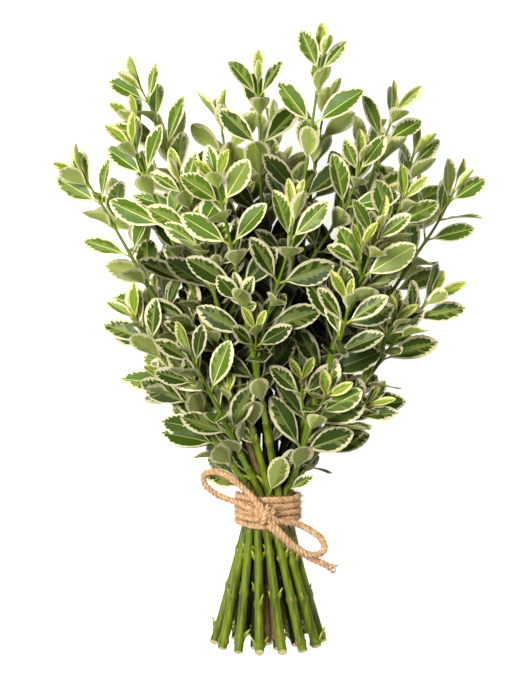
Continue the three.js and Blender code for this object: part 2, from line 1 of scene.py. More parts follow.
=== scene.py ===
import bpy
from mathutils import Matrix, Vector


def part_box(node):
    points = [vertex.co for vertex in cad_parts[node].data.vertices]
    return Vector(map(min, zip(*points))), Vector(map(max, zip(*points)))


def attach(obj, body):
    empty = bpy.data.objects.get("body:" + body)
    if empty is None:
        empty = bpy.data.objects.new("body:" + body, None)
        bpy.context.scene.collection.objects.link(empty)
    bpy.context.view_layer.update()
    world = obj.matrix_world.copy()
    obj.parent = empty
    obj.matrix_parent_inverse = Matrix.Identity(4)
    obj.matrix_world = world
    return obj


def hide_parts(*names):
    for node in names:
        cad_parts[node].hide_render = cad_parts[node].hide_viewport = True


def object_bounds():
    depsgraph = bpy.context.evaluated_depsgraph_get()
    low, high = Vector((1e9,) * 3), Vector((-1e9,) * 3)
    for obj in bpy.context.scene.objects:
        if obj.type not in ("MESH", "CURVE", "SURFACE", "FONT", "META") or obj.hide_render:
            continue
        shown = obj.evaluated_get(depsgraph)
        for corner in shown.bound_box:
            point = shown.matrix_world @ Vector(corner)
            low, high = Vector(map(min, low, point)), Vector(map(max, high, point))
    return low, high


bl_info = {
    "name": "Tied bunch of variegated euonymus",
    "version": (1, 0, 0),
    "blender": (4, 5, 0),
    "location": "3D View > Sidebar > Bunch",
    "description": "Grows the stems, twigs, leaves and buds of a tied bunch, and lays its twine",
    "category": "Object",
}

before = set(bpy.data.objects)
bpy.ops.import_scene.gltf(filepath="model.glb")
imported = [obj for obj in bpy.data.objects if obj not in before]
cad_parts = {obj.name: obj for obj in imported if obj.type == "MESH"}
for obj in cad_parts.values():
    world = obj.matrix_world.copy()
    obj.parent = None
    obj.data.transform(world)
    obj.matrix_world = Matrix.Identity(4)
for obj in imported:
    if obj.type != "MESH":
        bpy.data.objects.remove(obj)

import math
from collections import namedtuple

import bpy
import numpy as np
from mathutils import Matrix, Quaternion, Vector
from mathutils.bvhtree import BVHTree

# The bunch grows along its own axes, in millimetres: x across it, y from the cut feet to the tips,
# and z out of its front. It then lies down on the floor as the source's solids do.

MM = 0.001
SOURCE_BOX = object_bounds()

# The bunch as a whole
TIE_HEIGHT = 113
LEAN = math.radians(8)
AXIS_LIFT = 49
HEAD_HALF_WIDTH = 170
HEAD_HALF_DEPTH = 110
HEAD_FLATNESS = 0.65
HEAD_FOOT = 126
HEAD_FOOT_HALF_WIDTH = 22
HEAD_SLOPE = 0.6
HEAD_MARGIN = 1
GAP = 0.3

# The packing of the stems inside the tie: how many, at what radius, and turned by how much
OUTER_SLOT_RADIUS = 17.8
SLOT_RINGS = [(3, 4.1, 0), (9, 10.85, 20), (15, OUTER_SLOT_RADIUS, 6)]
LEAST_GAIN = 1e-3
SPREAD_BELOW_TIE = 1.45
SPIRAL = 1.15
WAIST_SHARE = 0.1
WAIST_SOFTNESS = 0.06
SPIRAL_ABOVE_TIE = math.radians(30)

# Stems and shoots
STEM_RADIUS = 3.25
FOOT_RADIUS = 3.6
LEAFY_RADIUS = 3
SHOOT_RADIUS = 2.5
TIP_RADIUS = 0.9
STEM_SIDES = 6
TWIG_SIDES = 3
TIE_HALF_HEIGHT = 14
SHEAF_HEIGHTS = [0, 52, 86, TIE_HEIGHT - TIE_HALF_HEIGHT + 1, TIE_HEIGHT + TIE_HALF_HEIGHT]
LEVEL_STEP = 24
RELAX_ROUNDS = 60
RELAX_SHARE = 0.2
STEM_CLEARANCE = 0.5
SIDEWAYS_ROOM = 0.022
LEAST_PIECE = 2

# Leaves
LEAF_THICKNESS = 1.3
LEAF_WIDEST = 0.6
LEAF_THICKEST = 0.25
ROOT_DEPTH = 0.1
LEAF_CLEARANCE = 0.35
FINE_CLEARANCE = 0.1
FLOOR_CLEARANCE = 0.4
LEAF_ANGLES = [27, 35, 39, 42, 44, 46, 48]
ANGLE_WANDER = 10
CROWDED_FROM = 130
CROWDED_TO = 240
CROWDED_ANGLE = 34
CROWDED_FULL_ANGLE = 60
LEAF_GROWTH = [0.6, 0.76, 0.88, 0.96, 1]
LEAST_SIZE = 0.9
SIZE_WANDER = 0.18
TOP_NODE_FROM_TIP = 4
INTERNODE_GROWTH = [0.4, 0.6, 0.8, 1]
ROLL_WANDER = 14
BACK_FROM = -20
FACING_OUT = 0.8
FACING_SIDEWAYS = 0.6
FACE_FRONT = 0.72
TRIES = [
    (0, 0, 1),
    (16, -6, 1),
    (-16, 6, 1),
    (0, -16, 0.95),
    (32, 0, 0.9),
    (-32, 0, 0.85),
    (0, 12, 0.8),
]

# Side twigs
SIDE_TWIG_CHANCE = 0.2
SIDE_TWIG_FIRST_NODE = 3
SIDE_TWIG_LENGTH = 34
SIDE_TWIG_SHORTEST = 0.8
SIDE_TWIG_WANDER = 0.7
SIDE_TWIG_ANGLE = 36
SIDE_TWIG_ROLL = 0.5
SIDE_TWIG_BEND = 0.35
SIDE_TWIG_RADIUS = 1.3
SIDE_TWIG_CLEARANCE = 0.5
SIDE_TWIG_BARE = 10
SIDE_TWIG_INTERNODE = 16
SIDE_TWIG_VIGOUR = 0.85
FINE_TAPER = 0.8

# Finer growth, which the source leaves to this scene
LEAF_TWIST = 26
LIGHT_LEAN = (-12, 24)
OUTER_NODES = 4
FILL_TRIES = 7
FILL_ROLL = 12
FILL_ROLL_STEP = 9
FILL_ANGLES = (-16, 8)
FILL_SHRINK = 0.07
FILL_VIGOUR = 0.95
OPEN_REACH = 0.75
OPEN_TUFT_SHARE = 0.1
TUFTS_UP_TO = 330
TUFT_FIRST_NODE = 2
TUFT_ROLL = 0.5
TUFT_RADII = (1.0, 0.7)
TUFT_PROBE_RADII = (1.1, 0.8)
TUFT_BARE = 4
TUFT_INTERNODE = 14
TUFT_LENGTHS = (0.4, 1)
TUFT_VIGOUR = (0.6, 0.85)
BRANCH_STEPS = 12
BRANCH_RADIUS = 1.6
BRANCH_BARE = 0.2
BRANCH_LEAVES = 0.35
BRANCH_ARRIVES = 0.3
FRONT_LEAF_ROOT = (0.8, 128, 24.5)
FRONT_LEAF_TIP = (12.5, 160, 33)
FRONT_LEAF_WIDTH = 16
FRONT_LEAF_SIDE = Vector((1, 0, 0.25))
LOW_LEAVES_FROM = 128
LOW_LEAVES_WANDER = 12
LOW_LEAF_CHANCE = 0.5
LOW_LEAF_SIZES = (0.55, 0.85)
LOW_LEAF_INWARD = -0.2
LOW_LEAF_FORWARD = 0.5
LOW_INTERNODE = 17
BARE_ABOVE_STEM = 6

# Twine
TWINE_RADIUS = 2.5
TWINE_SIDES = 6
WRAP_TURNS = 4.3
WRAP_START = math.pi / 2 - 0.4
WRAP_TURN_GAP = 0.4
WRAP_STEM_GAP = 1.05
WRAP_PITCH = 2 * TWINE_RADIUS + WRAP_TURN_GAP
WRAP_RADIUS = OUTER_SLOT_RADIUS + STEM_RADIUS + TWINE_RADIUS + WRAP_STEM_GAP
WRAP_WAVES = 5.3
KNOT = Vector((-2, 113, 32.2))
KNOT_HALF_LENGTH = 9.5
KNOT_RADIUS = 5.2

# How the source's stream of random numbers starts, and how it goes from each number to the next
STREAM_START = 2463534242
STREAM_FACTOR = 1664525
STREAM_STEP = 1013904223
STREAM_RANGE = 2 ** 32

# What starts each stream of random numbers
TWIST_SEED = 77
BRANCH_SEED = 900
FINER_SEED = 5000
NODE_SEED = 900
SCAR_SEED = 700
LEAF_SEED = 40
SIDE_TWIG_SEEDS = 100
SIDE_TWIG_STREAM = 7
PAINTED_LIGHT_STREAM = 11
CUT_STREAM = 3

# Each stem with its shoot: the side of the bunch, the tip, how far it flares, the space between its
# pairs of leaves, the height where they begin, and the first pair's turn
Shoot = namedtuple("Shoot", "name side tip flare internode leafy turn")
SHOOTS = [
    Shoot("front_middle", "front", (-40, 390, 98), 1.2, 20, 188, 0),
    Shoot("front_low_left", "front", (-62, 248, 56), 1.1, 20, 150, 1),
    Shoot("front_right", "front", (86, 350, 84), 1.0, 23, 165, 1),
    Shoot("tall_middle", "top", (43, 482, 36), 0.7, 30, 205, 1),
    Shoot("top_middle", "top", (-8, 460, 6), 0.6, 28, 205, 1),
    Shoot("top_left", "top", (-102, 455, 12), 1.1, 28, 190, 1),
    Shoot("far_left", "sides", (-150, 386, 12), 0.95, 27, 165, 0),
    Shoot("upper_left", "top", (-108, 412, 48), 0.9, 25, 180, 0),
    Shoot("top_right", "top", (102, 438, 10), 0.7, 27, 190, 0),
    Shoot("upper_right", "top", (118, 402, -12), 0.6, 26, 180, 1),
    Shoot("far_right", "sides", (150, 374, 10), 1.0, 25, 165, 1),
    Shoot("low_right", "sides", (132, 292, 38), 0.8, 24, 150, 0),
    Shoot("low_left", "sides", (-108, 274, 26), 0.8, 24, 150, 0),
    Shoot("foot_left", "sides", (-76, 222, 24), 0.8, 22, 142, 0),
    Shoot("foot_right", "sides", (76, 216, 22), 0.8, 22, 142, 0),
    Shoot("front_low_right", "front", (48, 214, 50), 0.9, 20, 138, 0),
    Shoot("inner_left", "front", (-70, 385, 62), 1.0, 24, 175, 1),
    Shoot("inner_right", "front", (108, 372, 48), 0.9, 24, 175, 0),
    Shoot("back_far_left", "back", (-122, 356, -38), 0.9, 25, 160, 0),
    Shoot("back_left", "back", (-85, 408, -58), 0.9, 26, 175, 1),
    Shoot("back_inner_left", "back", (-40, 428, -30), 0.9, 28, 205, 0),
    Shoot("back_middle", "back", (4, 418, -66), 0.9, 26, 185, 1),
    Shoot("back_inner_right", "back", (46, 440, -34), 0.9, 28, 205, 0),
    Shoot("back_right", "back", (84, 406, -58), 0.9, 26, 175, 1),
    Shoot("back_far_right", "back", (120, 356, -40), 0.9, 25, 160, 0),
    Shoot("back_low_left", "back", (-62, 262, -52), 0.8, 23, 148, 0),
    Shoot("back_low_right", "back", (66, 254, -50), 0.8, 23, 148, 0),
]
SHOOT_INDEX = {shoot.name: i for i, shoot in enumerate(SHOOTS)}

# The leaves are joined by the side of the bunch that they grow on
SIDES_OF_BUNCH = ("front", "top", "sides", "back")

# Long side twigs that branch off a shoot low down: the shoot, the height where they leave it,
# their tip, internode and first turn
Branch = namedtuple("Branch", "shoot fork tip internode turn")
BRANCHES = [
    Branch("front_middle", 214, (20, 364, 84), 21, 0),
    Branch("tall_middle", 262, (72, 402, 52), 22, 1),
    Branch("front_right", 205, (62, 296, 88), 20, 0),
]

# The bow's strands, point by point as they lie
LEFT_LOOP = [
    (-4, 118, 34), (-13, 128, 33.5), (-21, 135.5, 32), (-31, 143, 30), (-42, 147, 27), (-51, 144.5, 24.5),
    (-51.5, 138, 23), (-45, 130, 22), (-35, 124.5, 21.5), (-26, 121.5, 22), (-18, 118.5, 26), (-8, 115, 31.5),
]
RIGHT_LOOP = [
    (6, 108, 32), (16, 105.5, 27), (25, 102.5, 20.5), (35.5, 97, 20.5), (44, 90, 23), (45.5, 83.5, 26),
    (40, 79.5, 29), (31, 81, 32), (22.5, 86.5, 34.5), (13, 96, 36), (3, 107, 35.8),
]
TAIL = [
    (1, 104, 31), (6.5, 98, 29.2), (14, 91.4, 28), (22, 84.5, 27.2), (31, 78, 25.4),
    (39, 73.8, 24.8), (47.5, 69.8, 24.4), (55, 66, 24),
]


# Growing the bunch by the source's rule


def seeded_random(*keys):
    """The source's own stream of random numbers, so that both grow the same pairs."""
    state = STREAM_START

    def step(value):
        return (value * STREAM_FACTOR + STREAM_STEP) % STREAM_RANGE

    for key in keys:
        state = step(step(state ^ key))

    def draw():
        nonlocal state
        state = step(state)
        return state / STREAM_RANGE

    return draw


def pick(values, index):
    return values[min(index, len(values) - 1)]


def map_linear(value, low, high, to_low, to_high):
    return to_low + (value - low) / (high - low) * (to_high - to_low)


def head_half_width(height):
    half_width = min(HEAD_FOOT_HALF_WIDTH + HEAD_SLOPE * (height - HEAD_FOOT), HEAD_HALF_WIDTH)
    return max(half_width, HEAD_FOOT_HALF_WIDTH)


def tie_slots():
    slots = []
    for count, radius, turn in SLOT_RINGS:
        for i in range(count):
            angle = math.radians(turn + 360 * i / count)
            slots.append(Vector((math.cos(angle), math.sin(angle))) * radius)
    return slots


def home_in_tie(shoot):
    """The place in the tie that a shoot would come from if the whole bunch were turned evenly."""
    x, y, z = shoot.tip
    half_width = head_half_width(y)
    place = Vector((x / half_width, z / (HEAD_FLATNESS * half_width)))
    if place.length > 1:
        place.normalize()
    return Matrix.Rotation(-SPIRAL_ABOVE_TIE, 2) @ place * OUTER_SLOT_RADIUS


def match_slots(shoots, slots):
    """Swaps slots between shoots for as long as that brings them nearer to their homes."""
    homes = [home_in_tie(shoot) for shoot in shoots]
    matched = list(slots)
    improved = True
    while improved:
        improved = False
        for i in range(len(matched)):
            for j in range(i + 1, len(matched)):
                a = matched[i]
                b = matched[j]
                now = (homes[i] - a).length_squared + (homes[j] - b).length_squared
                swapped = (homes[i] - b).length_squared + (homes[j] - a).length_squared
                if swapped < now - LEAST_GAIN:
                    matched[i] = b
                    matched[j] = a
                    improved = True
    return matched


def place_in_sheaf(slot, height):
    """Up through the tie the stems stand like the straws of a sheaf, spread out and turned."""
    drop = (TIE_HEIGHT - height) / TIE_HEIGHT
    past = max(abs(drop) - WAIST_SHARE, 0)
    spread = 1 + SPREAD_BELOW_TIE * past ** 2 / (past + WAIST_SOFTNESS)
    turned = SPIRAL * drop
    return Vector((slot.x * spread + slot.y * turned, height, slot.y * spread - slot.x * turned))


def easy_shares(t):
    """How far an easy curve has gone at t, and how much its slopes at the start and the end count."""
    return 3 * t ** 2 - 2 * t ** 3, t ** 3 - 2 * t ** 2 + t, t ** 3 - t ** 2


def place_above_tie(shoot, slot, start, height):
    """Above the tie a stem bends in one easy curve from its slot to its tip."""
    tip = Vector(shoot.tip)
    turned = SPIRAL * (tip.y - start.y) / TIE_HEIGHT
    leaving = Vector((-slot.y * turned, 0, slot.x * turned))
    arriving = (tip - start) * shoot.flare
    gone, first, last = easy_shares((height - start.y) / (tip.y - start.y))
    point = start.lerp(tip, gone)
    point += leaving * first + arriving * last
    point.y = height
    return point


def first_path(shoot, slot):
    points = [place_in_sheaf(slot, height) for height in SHEAF_HEIGHTS]
    start = points[-1]
    height = start.y + LEVEL_STEP
    while height < shoot.tip[1] - LEVEL_STEP / 2:
        points.append(place_above_tie(shoot, slot, start, height))
        height += LEVEL_STEP
    points.append(Vector(shoot.tip))
    return points


def push_apart(a, b):
    room = 2 * STEM_RADIUS + STEM_CLEARANCE + SIDEWAYS_ROOM * (a.y - TIE_HEIGHT)
    across_x = a.x - b.x
    across_z = a.z - b.z
    distance = math.hypot(across_x, across_z)
    if distance >= room:
        return
    share = (room - distance) / 2 / distance
    a.x += across_x * share
    a.z += across_z * share
    b.x -= across_x * share
    b.z -= across_z * share


def make_room(paths):
    """Stems and shoots that pass too near each other at the same height push one another aside."""
    first_free = len(SHEAF_HEIGHTS)
    for _ in range(RELAX_ROUNDS):
        for path in paths:
            for k in range(first_free, len(path) - 1):
                middle = (path[k - 1] + path[k + 1]) / 2
                path[k].x += RELAX_SHARE * (middle.x - path[k].x)
                path[k].z += RELAX_SHARE * (middle.z - path[k].z)
        for i, path in enumerate(paths):
            for other in paths[i + 1:]:
                for k in range(first_free, min(len(path), len(other)) - 1):
                    push_apart(path[k], other[k])


def path_lengths(points):
    lengths = [0.0]
    for before, after in zip(points, points[1:]):
        lengths.append(lengths[-1] + (after - before).length)
    return lengths


def find_span(values, value):
    """The end of the span of rising values that holds a value, and its share of the span."""
    i = 1
    while i < len(values) - 1 and values[i] < value:
        i += 1
    return i, (value - values[i - 1]) / (values[i] - values[i - 1])


def along_path(points, distance):
    i, share = find_span(path_lengths(points), distance)
    return points[i - 1].lerp(points[i], share), (points[i] - points[i - 1]).normalized()


def distance_at_height(points, height):
    lengths = path_lengths(points)
    i, share = find_span([point.y for point in points], height)
    return lengths[i - 1] + share * (lengths[i] - lengths[i - 1])


def path_piece(points, start, end):
    """The piece of a path between two distances, with the points that lie well inside it."""
    lengths = path_lengths(points)
    inner = [
        point for point, length in zip(points, lengths)
        if start + LEAST_PIECE < length < end - LEAST_PIECE
    ]
    return [along_path(points, start)[0]] + inner + [along_path(points, end)[0]]


def height_above_floor(point):
    return AXIS_LIFT + point.y * math.sin(LEAN) + point.z * math.cos(LEAN)


def clears_floor(corners, least=0.0):
    return all(height_above_floor(corner) > least for corner in corners)


def outward_at(point):
    bias = -FACING_OUT if point.z < BACK_FROM else FACING_OUT
    outward = Vector((FACING_SIDEWAYS * point.x / HEAD_HALF_WIDTH, 0, point.z / HEAD_HALF_DEPTH + bias))
    return outward.normalized()


def radial_at(point, tangent, roll):
    """The direction out of the twig, at a roll measured from its sideways direction."""
    side = outward_at(point).cross(tangent).normalized()
    return Quaternion(tangent, roll) @ side


def reach_at(point):
    """How far out in the head a point lies, from 0 on its axis to 1 at its edge."""
    half_width = head_half_width(point.y)
    return math.hypot(point.x / half_width, point.z / (HEAD_FLATNESS * half_width))


Place = namedtuple("Place", "point tangent radius turn index")
Twig = namedtuple("Twig", "points start_radius end_radius places")
Bud = namedtuple("Bud", "point facing size kind")


class Leaf:
    """One leaf as it is set on its twig: where it grows from, which way, and how large."""

    def __init__(self, root, direction, normal, length, width):
        self.root = root
        self.direction = direction
        self.normal = normal
        self.length = length
        self.width = width
        self.shoot = None
        self.node = 0
        # Which copy of painted light and shade the leaf's colours take
        self.tone = 0


def raise_from_floor(leaf):
    """A leaf that would dip into the floor is bent up until its tip clears it, and turned flat."""
    up = Vector((0, math.sin(LEAN), math.cos(LEAN)))
    tip_height = height_above_floor(leaf.root) + leaf.length * leaf.direction.dot(up)
    missing = FLOOR_CLEARANCE - tip_height
    if missing > 0:
        leaf.direction = (leaf.direction + up * (missing / leaf.length)).normalized()
        flat = up - leaf.direction * up.dot(leaf.direction)
        if leaf.normal.dot(up) < 0:
            flat.negate()
        leaf.normal = flat.normalized()


def make_leaf(place, radial, angle, length, width):
    outward = outward_at(place.point)
    direction = place.tangent * math.cos(angle) + radial * math.sin(angle)
    upper = place.tangent * math.sin(angle) - radial * math.cos(angle)
    to_front = (outward - direction * outward.dot(direction)).normalized()
    turn = FACE_FRONT * (1 - abs(radial.dot(outward)) ** 2)
    normal = upper * (1 - turn) + to_front * turn
    normal = (normal - direction * normal.dot(direction)).normalized()
    root = place.point - direction * (ROOT_DEPTH * place.radius)
    leaf = Leaf(root, direction, normal, length, width)
    raise_from_floor(leaf)
    return leaf


KITE_CORNERS = 5
KITE_FACES = [(0, 2, 4), (0, 4, 3), (1, 4, 2), (1, 3, 4), (0, 3, 2), (1, 2, 3)]


def leaf_kite(leaf, swell=0.0, lift=0.0):
    """The source's six-faced leaf: its root, tip, two sides and keel."""
    across = leaf.direction.cross(leaf.normal) * (leaf.width / 2 + swell)
    root = leaf.root + leaf.normal * lift
    middle = root + leaf.direction * (LEAF_WIDEST * leaf.length)
    keel = root + leaf.direction * (LEAF_THICKEST * leaf.length) - leaf.normal * LEAF_THICKNESS
    tip = root + leaf.direction * (leaf.length + swell)
    return [root, tip, middle + across, middle - across, keel]


def leaf_probe(leaf, clearance):
    corners = leaf_kite(leaf, clearance, -clearance) + leaf_kite(leaf, clearance, clearance)
    faces = KITE_FACES + [tuple(k + KITE_CORNERS for k in face) for face in KITE_FACES]
    return corners, faces


def limb_prism(points, start_radius, end_radius, sides):
    """The source's faceted limb, ring by ring, for keeping leaves clear of it."""
    lengths = path_lengths(points)
    corners = []
    for i, point in enumerate(points):
        tangent = (points[min(i + 1, len(points) - 1)] - points[max(i - 1, 0)]).normalized()
        side = Vector((0, 0, 1)).cross(tangent).normalized()
        front = tangent.cross(side)
        radius = start_radius + (end_radius - start_radius) * lengths[i] / lengths[-1]
        for k in range(sides):
            angle = 2 * math.pi * k / sides
            corners.append(point + (front * math.cos(angle) - side * math.sin(angle)) * radius)
    faces = []
    for i in range(len(points) - 1):
        for k in range(sides):
            a = i * sides + k
            b = i * sides + (k + 1) % sides
            faces.append((a, b, b + sides))
            faces.append((a, b + sides, a + sides))
    return corners, faces


def pair_places(points, radii, leafy_from, internode, first_turn):
    """The leaf pairs along a twig, from its tip down, each a quarter turn from the next."""
    total = path_lengths(points)[-1]
    places = []
    distance = total - TOP_NODE_FROM_TIP
    while distance > leafy_from:
        i = len(places)
        point, tangent = along_path(points, distance)
        radius = map_linear(distance, leafy_from, total, *radii)
        places.append(Place(point, tangent, radius, first_turn + i, i))
        distance -= internode * pick(INTERNODE_GROWTH, i)
    return places


def leaf_angle_at(place):
    widest = map_linear(place.point.y, CROWDED_FROM, CROWDED_TO, CROWDED_ANGLE, CROWDED_FULL_ANGLE)
    return min(pick(LEAF_ANGLES, place.index), widest)


def bezier_point(bends, t):
    """A point on the curve that four bends give, at a share of its length."""
    left = 1 - t
    shares = (left ** 3, 3 * left ** 2 * t, 3 * left * t ** 2, t ** 3)
    return sum((bend * share for bend, share in zip(bends, shares)), Vector())


def side_twig_points(place, roll, length):
    radial = radial_at(place.point, place.tangent, roll)
    angle = math.radians(SIDE_TWIG_ANGLE)
    direction = place.tangent * math.cos(angle) + radial * math.sin(angle)
    points = [place.point.copy()]
    for share in (0.5, 1):
        bend = direction.lerp(place.tangent, SIDE_TWIG_BEND * share).normalized()
        points.append(place.point + bend * (length * share))
    return points


def wrap_line(steps_per_turn=15, wander=0.0):
    count = round(WRAP_TURNS * steps_per_turn)
    points = []
    for i in range(count + 1):
        t = i / count
        turned = 2 * math.pi * WRAP_TURNS * t + WRAP_START
        y = TIE_HEIGHT + WRAP_PITCH * WRAP_TURNS * (t - 0.5) + wander * math.sin(WRAP_WAVES * turned)
        points.append(Vector((WRAP_RADIUS * math.cos(turned), y, WRAP_RADIUS * math.sin(turned))))
    return points


# From the bunch's own axes to the floor


def bunch_to_world():
    low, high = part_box("twine_knot")
    lean = Matrix.Rotation(LEAN, 4, "X")
    origin = (low + high) / 2 - lean.to_3x3() @ KNOT * MM
    return Matrix.Translation(origin) @ lean @ Matrix.Scale(MM, 4)


TO_WORLD = bunch_to_world()
FLOOR_DROP = TO_WORLD.translation.z / MM


def inside_head(corners):
    """Whether every corner stays within the reach of the source's solids."""
    low, high = SOURCE_BOX
    margin = HEAD_MARGIN * MM
    for corner in corners:
        place = TO_WORLD @ corner
        for axis in range(3):
            if not low[axis] - margin <= place[axis] <= high[axis] + margin:
                return False
    return True


# The bunch as it grows


class Thicket:
    """Everything that already has its place, so that new growth keeps clear of it."""

    MOST = 9000

    def __init__(self):
        self.owners = []
        self.trees = []
        self.lows = np.empty((self.MOST, 3))
        self.highs = np.empty((self.MOST, 3))

    def take(self, owner, corners, faces):
        places = np.array(corners)
        count = len(self.owners)
        self.lows[count] = places.min(0)
        self.highs[count] = places.max(0)
        self.owners.append(owner)
        self.trees.append(BVHTree.FromPolygons(corners, faces))

    def is_free(self, corners, faces, parents):
        places = np.array(corners)
        count = len(self.owners)
        near = (self.lows[:count] <= places.max(0)) & (self.highs[:count] >= places.min(0))
        probe = BVHTree.FromPolygons(corners, faces)
        for i in np.flatnonzero(near.all(1)):
            if self.owners[i] not in parents and probe.overlap(self.trees[i]):
                return False
        return True

    def has_room(self, corners, faces, parents):
        """Whether finer growth fits: over the floor, in the source's reach and free."""
        if not clears_floor(corners, AXIS_LIFT - FLOOR_DROP):
            return False
        return inside_head(corners) and self.is_free(corners, faces, parents)


class Bunch:
    """The whole bunch as it grows: its paths, twigs, leaves and buds."""

    def __init__(self, sizes):
        self.sizes = sizes
        self.thicket = Thicket()
        self.paths = []
        self.shares = []
        self.twigs = []
        self.leaves = []
        self.buds = []
        self.twists = np.random.default_rng(TWIST_SEED)

    def grow(self):
        self.lay_stems()
        kept = [self.grow_foliage(i, shoot) for i, shoot in enumerate(SHOOTS)]
        self.set_front_leaf()
        for k, branch in enumerate(BRANCHES):
            self.grow_branch(k, branch)
        for i, shoot in enumerate(SHOOTS):
            self.grow_finer(i, shoot, kept[i])

    def lay_stems(self):
        slots = match_slots(SHOOTS, tie_slots())
        self.paths = [first_path(shoot, slot) for shoot, slot in zip(SHOOTS, slots)]
        make_room(self.paths)
        self.take_twine()
        for i, (shoot, points) in enumerate(zip(SHOOTS, self.paths)):
            share = distance_at_height(points, shoot.leafy)
            self.shares.append(share)
            stem = path_piece(points, 0, share)
            axis = path_piece(points, share + GAP, path_lengths(points)[-1])
            self.thicket.take(f"stem {i}", *limb_prism(stem, FOOT_RADIUS, LEAFY_RADIUS, STEM_SIDES))
            self.thicket.take(f"axis {i}", *limb_prism(axis, SHOOT_RADIUS, TIP_RADIUS, TWIG_SIDES))

    def take_twine(self):
        for line in (wrap_line(), LEFT_LOOP, RIGHT_LOOP, TAIL):
            points = [Vector(point) for point in line]
            self.thicket.take("twine", *limb_prism(points, TWINE_RADIUS, TWINE_RADIUS, TWINE_SIDES))
        across = [KNOT + Vector((x, 0, 0)) for x in (-KNOT_HALF_LENGTH, 0, KNOT_HALF_LENGTH)]
        self.thicket.take("twine", *limb_prism(across, KNOT_RADIUS, KNOT_RADIUS, TWINE_SIDES))

    def grow_leaf(self, parents, place, roll, angle, size):
        """Each leaf is tried as it would grow, then bent aside, and left out where nothing is free."""
        for more_roll, more_angle, share in TRIES:
            radial = radial_at(place.point, place.tangent, roll + math.radians(more_roll))
            leaf = self.sized_leaf(place, radial, math.radians(angle + more_angle), size * share)
            corners, faces = leaf_probe(leaf, LEAF_CLEARANCE)
            if clears_floor(corners) and self.thicket.is_free(corners, faces, parents):
                return leaf
        return None

    def sized_leaf(self, place, radial, lean, grown):
        """A leaf of its full size by how far it has grown, leaned by the light and twisted."""
        toward_light = max(radial.dot(outward_at(place.point)), 0)
        lean += math.radians(self.twists.uniform(*LIGHT_LEAN)) * toward_light ** 2
        length = self.sizes.leaf_length / MM * grown
        width = self.sizes.leaf_width / MM * grown
        leaf = make_leaf(place, radial, lean, length, width)
        twist = self.twists.uniform(-LEAF_TWIST, LEAF_TWIST)
        leaf.normal = Quaternion(leaf.direction, math.radians(twist)) @ leaf.normal
        return leaf

    def grow_pair(self, twig, place, seed, vigour, shoot):
        """Grows both leaves of a pair, and tells on which sides they found room."""
        pair = f"pair {seed} {place.index}"
        grown_sides = set()
        for side in (0, 1):
            draw = seeded_random(seed, place.index, side)
            wander = math.radians(ROLL_WANDER * (2 * draw() - 1))
            roll = math.pi * (place.turn / 2 + side) + wander
            angle = leaf_angle_at(place) + ANGLE_WANDER * (draw() - 0.5)
            size = vigour * pick(LEAF_GROWTH, place.index) * (LEAST_SIZE + SIZE_WANDER * draw())
            leaf = self.grow_leaf([twig, pair], place, roll, angle, size)
            if leaf:
                grown_sides.add(side)
                self.keep_leaf(leaf, pair, place.index, shoot)
        return grown_sides

    def keep_leaf(self, leaf, owner, node, shoot):
        leaf.shoot = shoot
        leaf.node = node
        self.leaves.append(leaf)
        self.thicket.take(owner, leaf_kite(leaf), KITE_FACES)

    def grow_side_twig(self, parent, place, seed, shoot):
        """Grows a side twig at some of the lower nodes, and tells on which side."""
        draw = seeded_random(seed, place.index, SIDE_TWIG_STREAM)
        if place.index < SIDE_TWIG_FIRST_NODE or draw() > SIDE_TWIG_CHANCE:
            return None
        side = 0 if draw() < 0.5 else 1
        roll = math.pi * (place.turn / 2 + side) + SIDE_TWIG_ROLL
        length = SIDE_TWIG_LENGTH * (SIDE_TWIG_SHORTEST + SIDE_TWIG_WANDER * draw())
        points = side_twig_points(place, roll, length)
        probe_radii = (SIDE_TWIG_RADIUS + SIDE_TWIG_CLEARANCE, TIP_RADIUS + SIDE_TWIG_CLEARANCE)
        corners, faces = limb_prism(points, *probe_radii, TWIG_SIDES)
        parents = [parent, f"pair {seed} {place.index}"]
        if not clears_floor(corners) or not self.thicket.is_free(corners, faces, parents):
            return None
        name = f"side twig {seed} {place.index}"
        self.thicket.take(name, *limb_prism(points, SIDE_TWIG_RADIUS, TIP_RADIUS * FINE_TAPER, TWIG_SIDES))
        radii = (SIDE_TWIG_RADIUS, TIP_RADIUS)
        places = pair_places(points, radii, SIDE_TWIG_BARE, SIDE_TWIG_INTERNODE, 0)
        self.twigs.append(Twig(points, SIDE_TWIG_RADIUS, TIP_RADIUS * FINE_TAPER, places))
        for side_place in places:
            side_seed = (seed + 1) * SIDE_TWIG_SEEDS + place.index
            self.grow_pair(name, side_place, side_seed, SIDE_TWIG_VIGOUR, shoot)
        return side

    def grow_foliage(self, index, shoot):
        points = self.paths[index]
        axis = f"axis {index}"
        leafy_from = distance_at_height(points, shoot.leafy) + BARE_ABOVE_STEM
        radii = (SHOOT_RADIUS, TIP_RADIUS)
        kept = []
        for place in pair_places(points, radii, leafy_from, shoot.internode, shoot.turn):
            grown_sides = self.grow_pair(axis, place, index, 1, shoot)
            twig_side = self.grow_side_twig(axis, place, index, shoot)
            kept.append((place, grown_sides, twig_side))
        return kept

    # The finer growth, which the source leaves to this scene

    def set_front_leaf(self):
        """The single leaf that stands up in front of the stems, out of the top of the tie."""
        root = Vector(FRONT_LEAF_ROOT)
        along = Vector(FRONT_LEAF_TIP) - root
        direction = along.normalized()
        back = direction.cross(FRONT_LEAF_SIDE).normalized()
        leaf = Leaf(root, direction, back, along.length, FRONT_LEAF_WIDTH)
        self.keep_leaf(leaf, "front leaf", OUTER_NODES, SHOOTS[0])

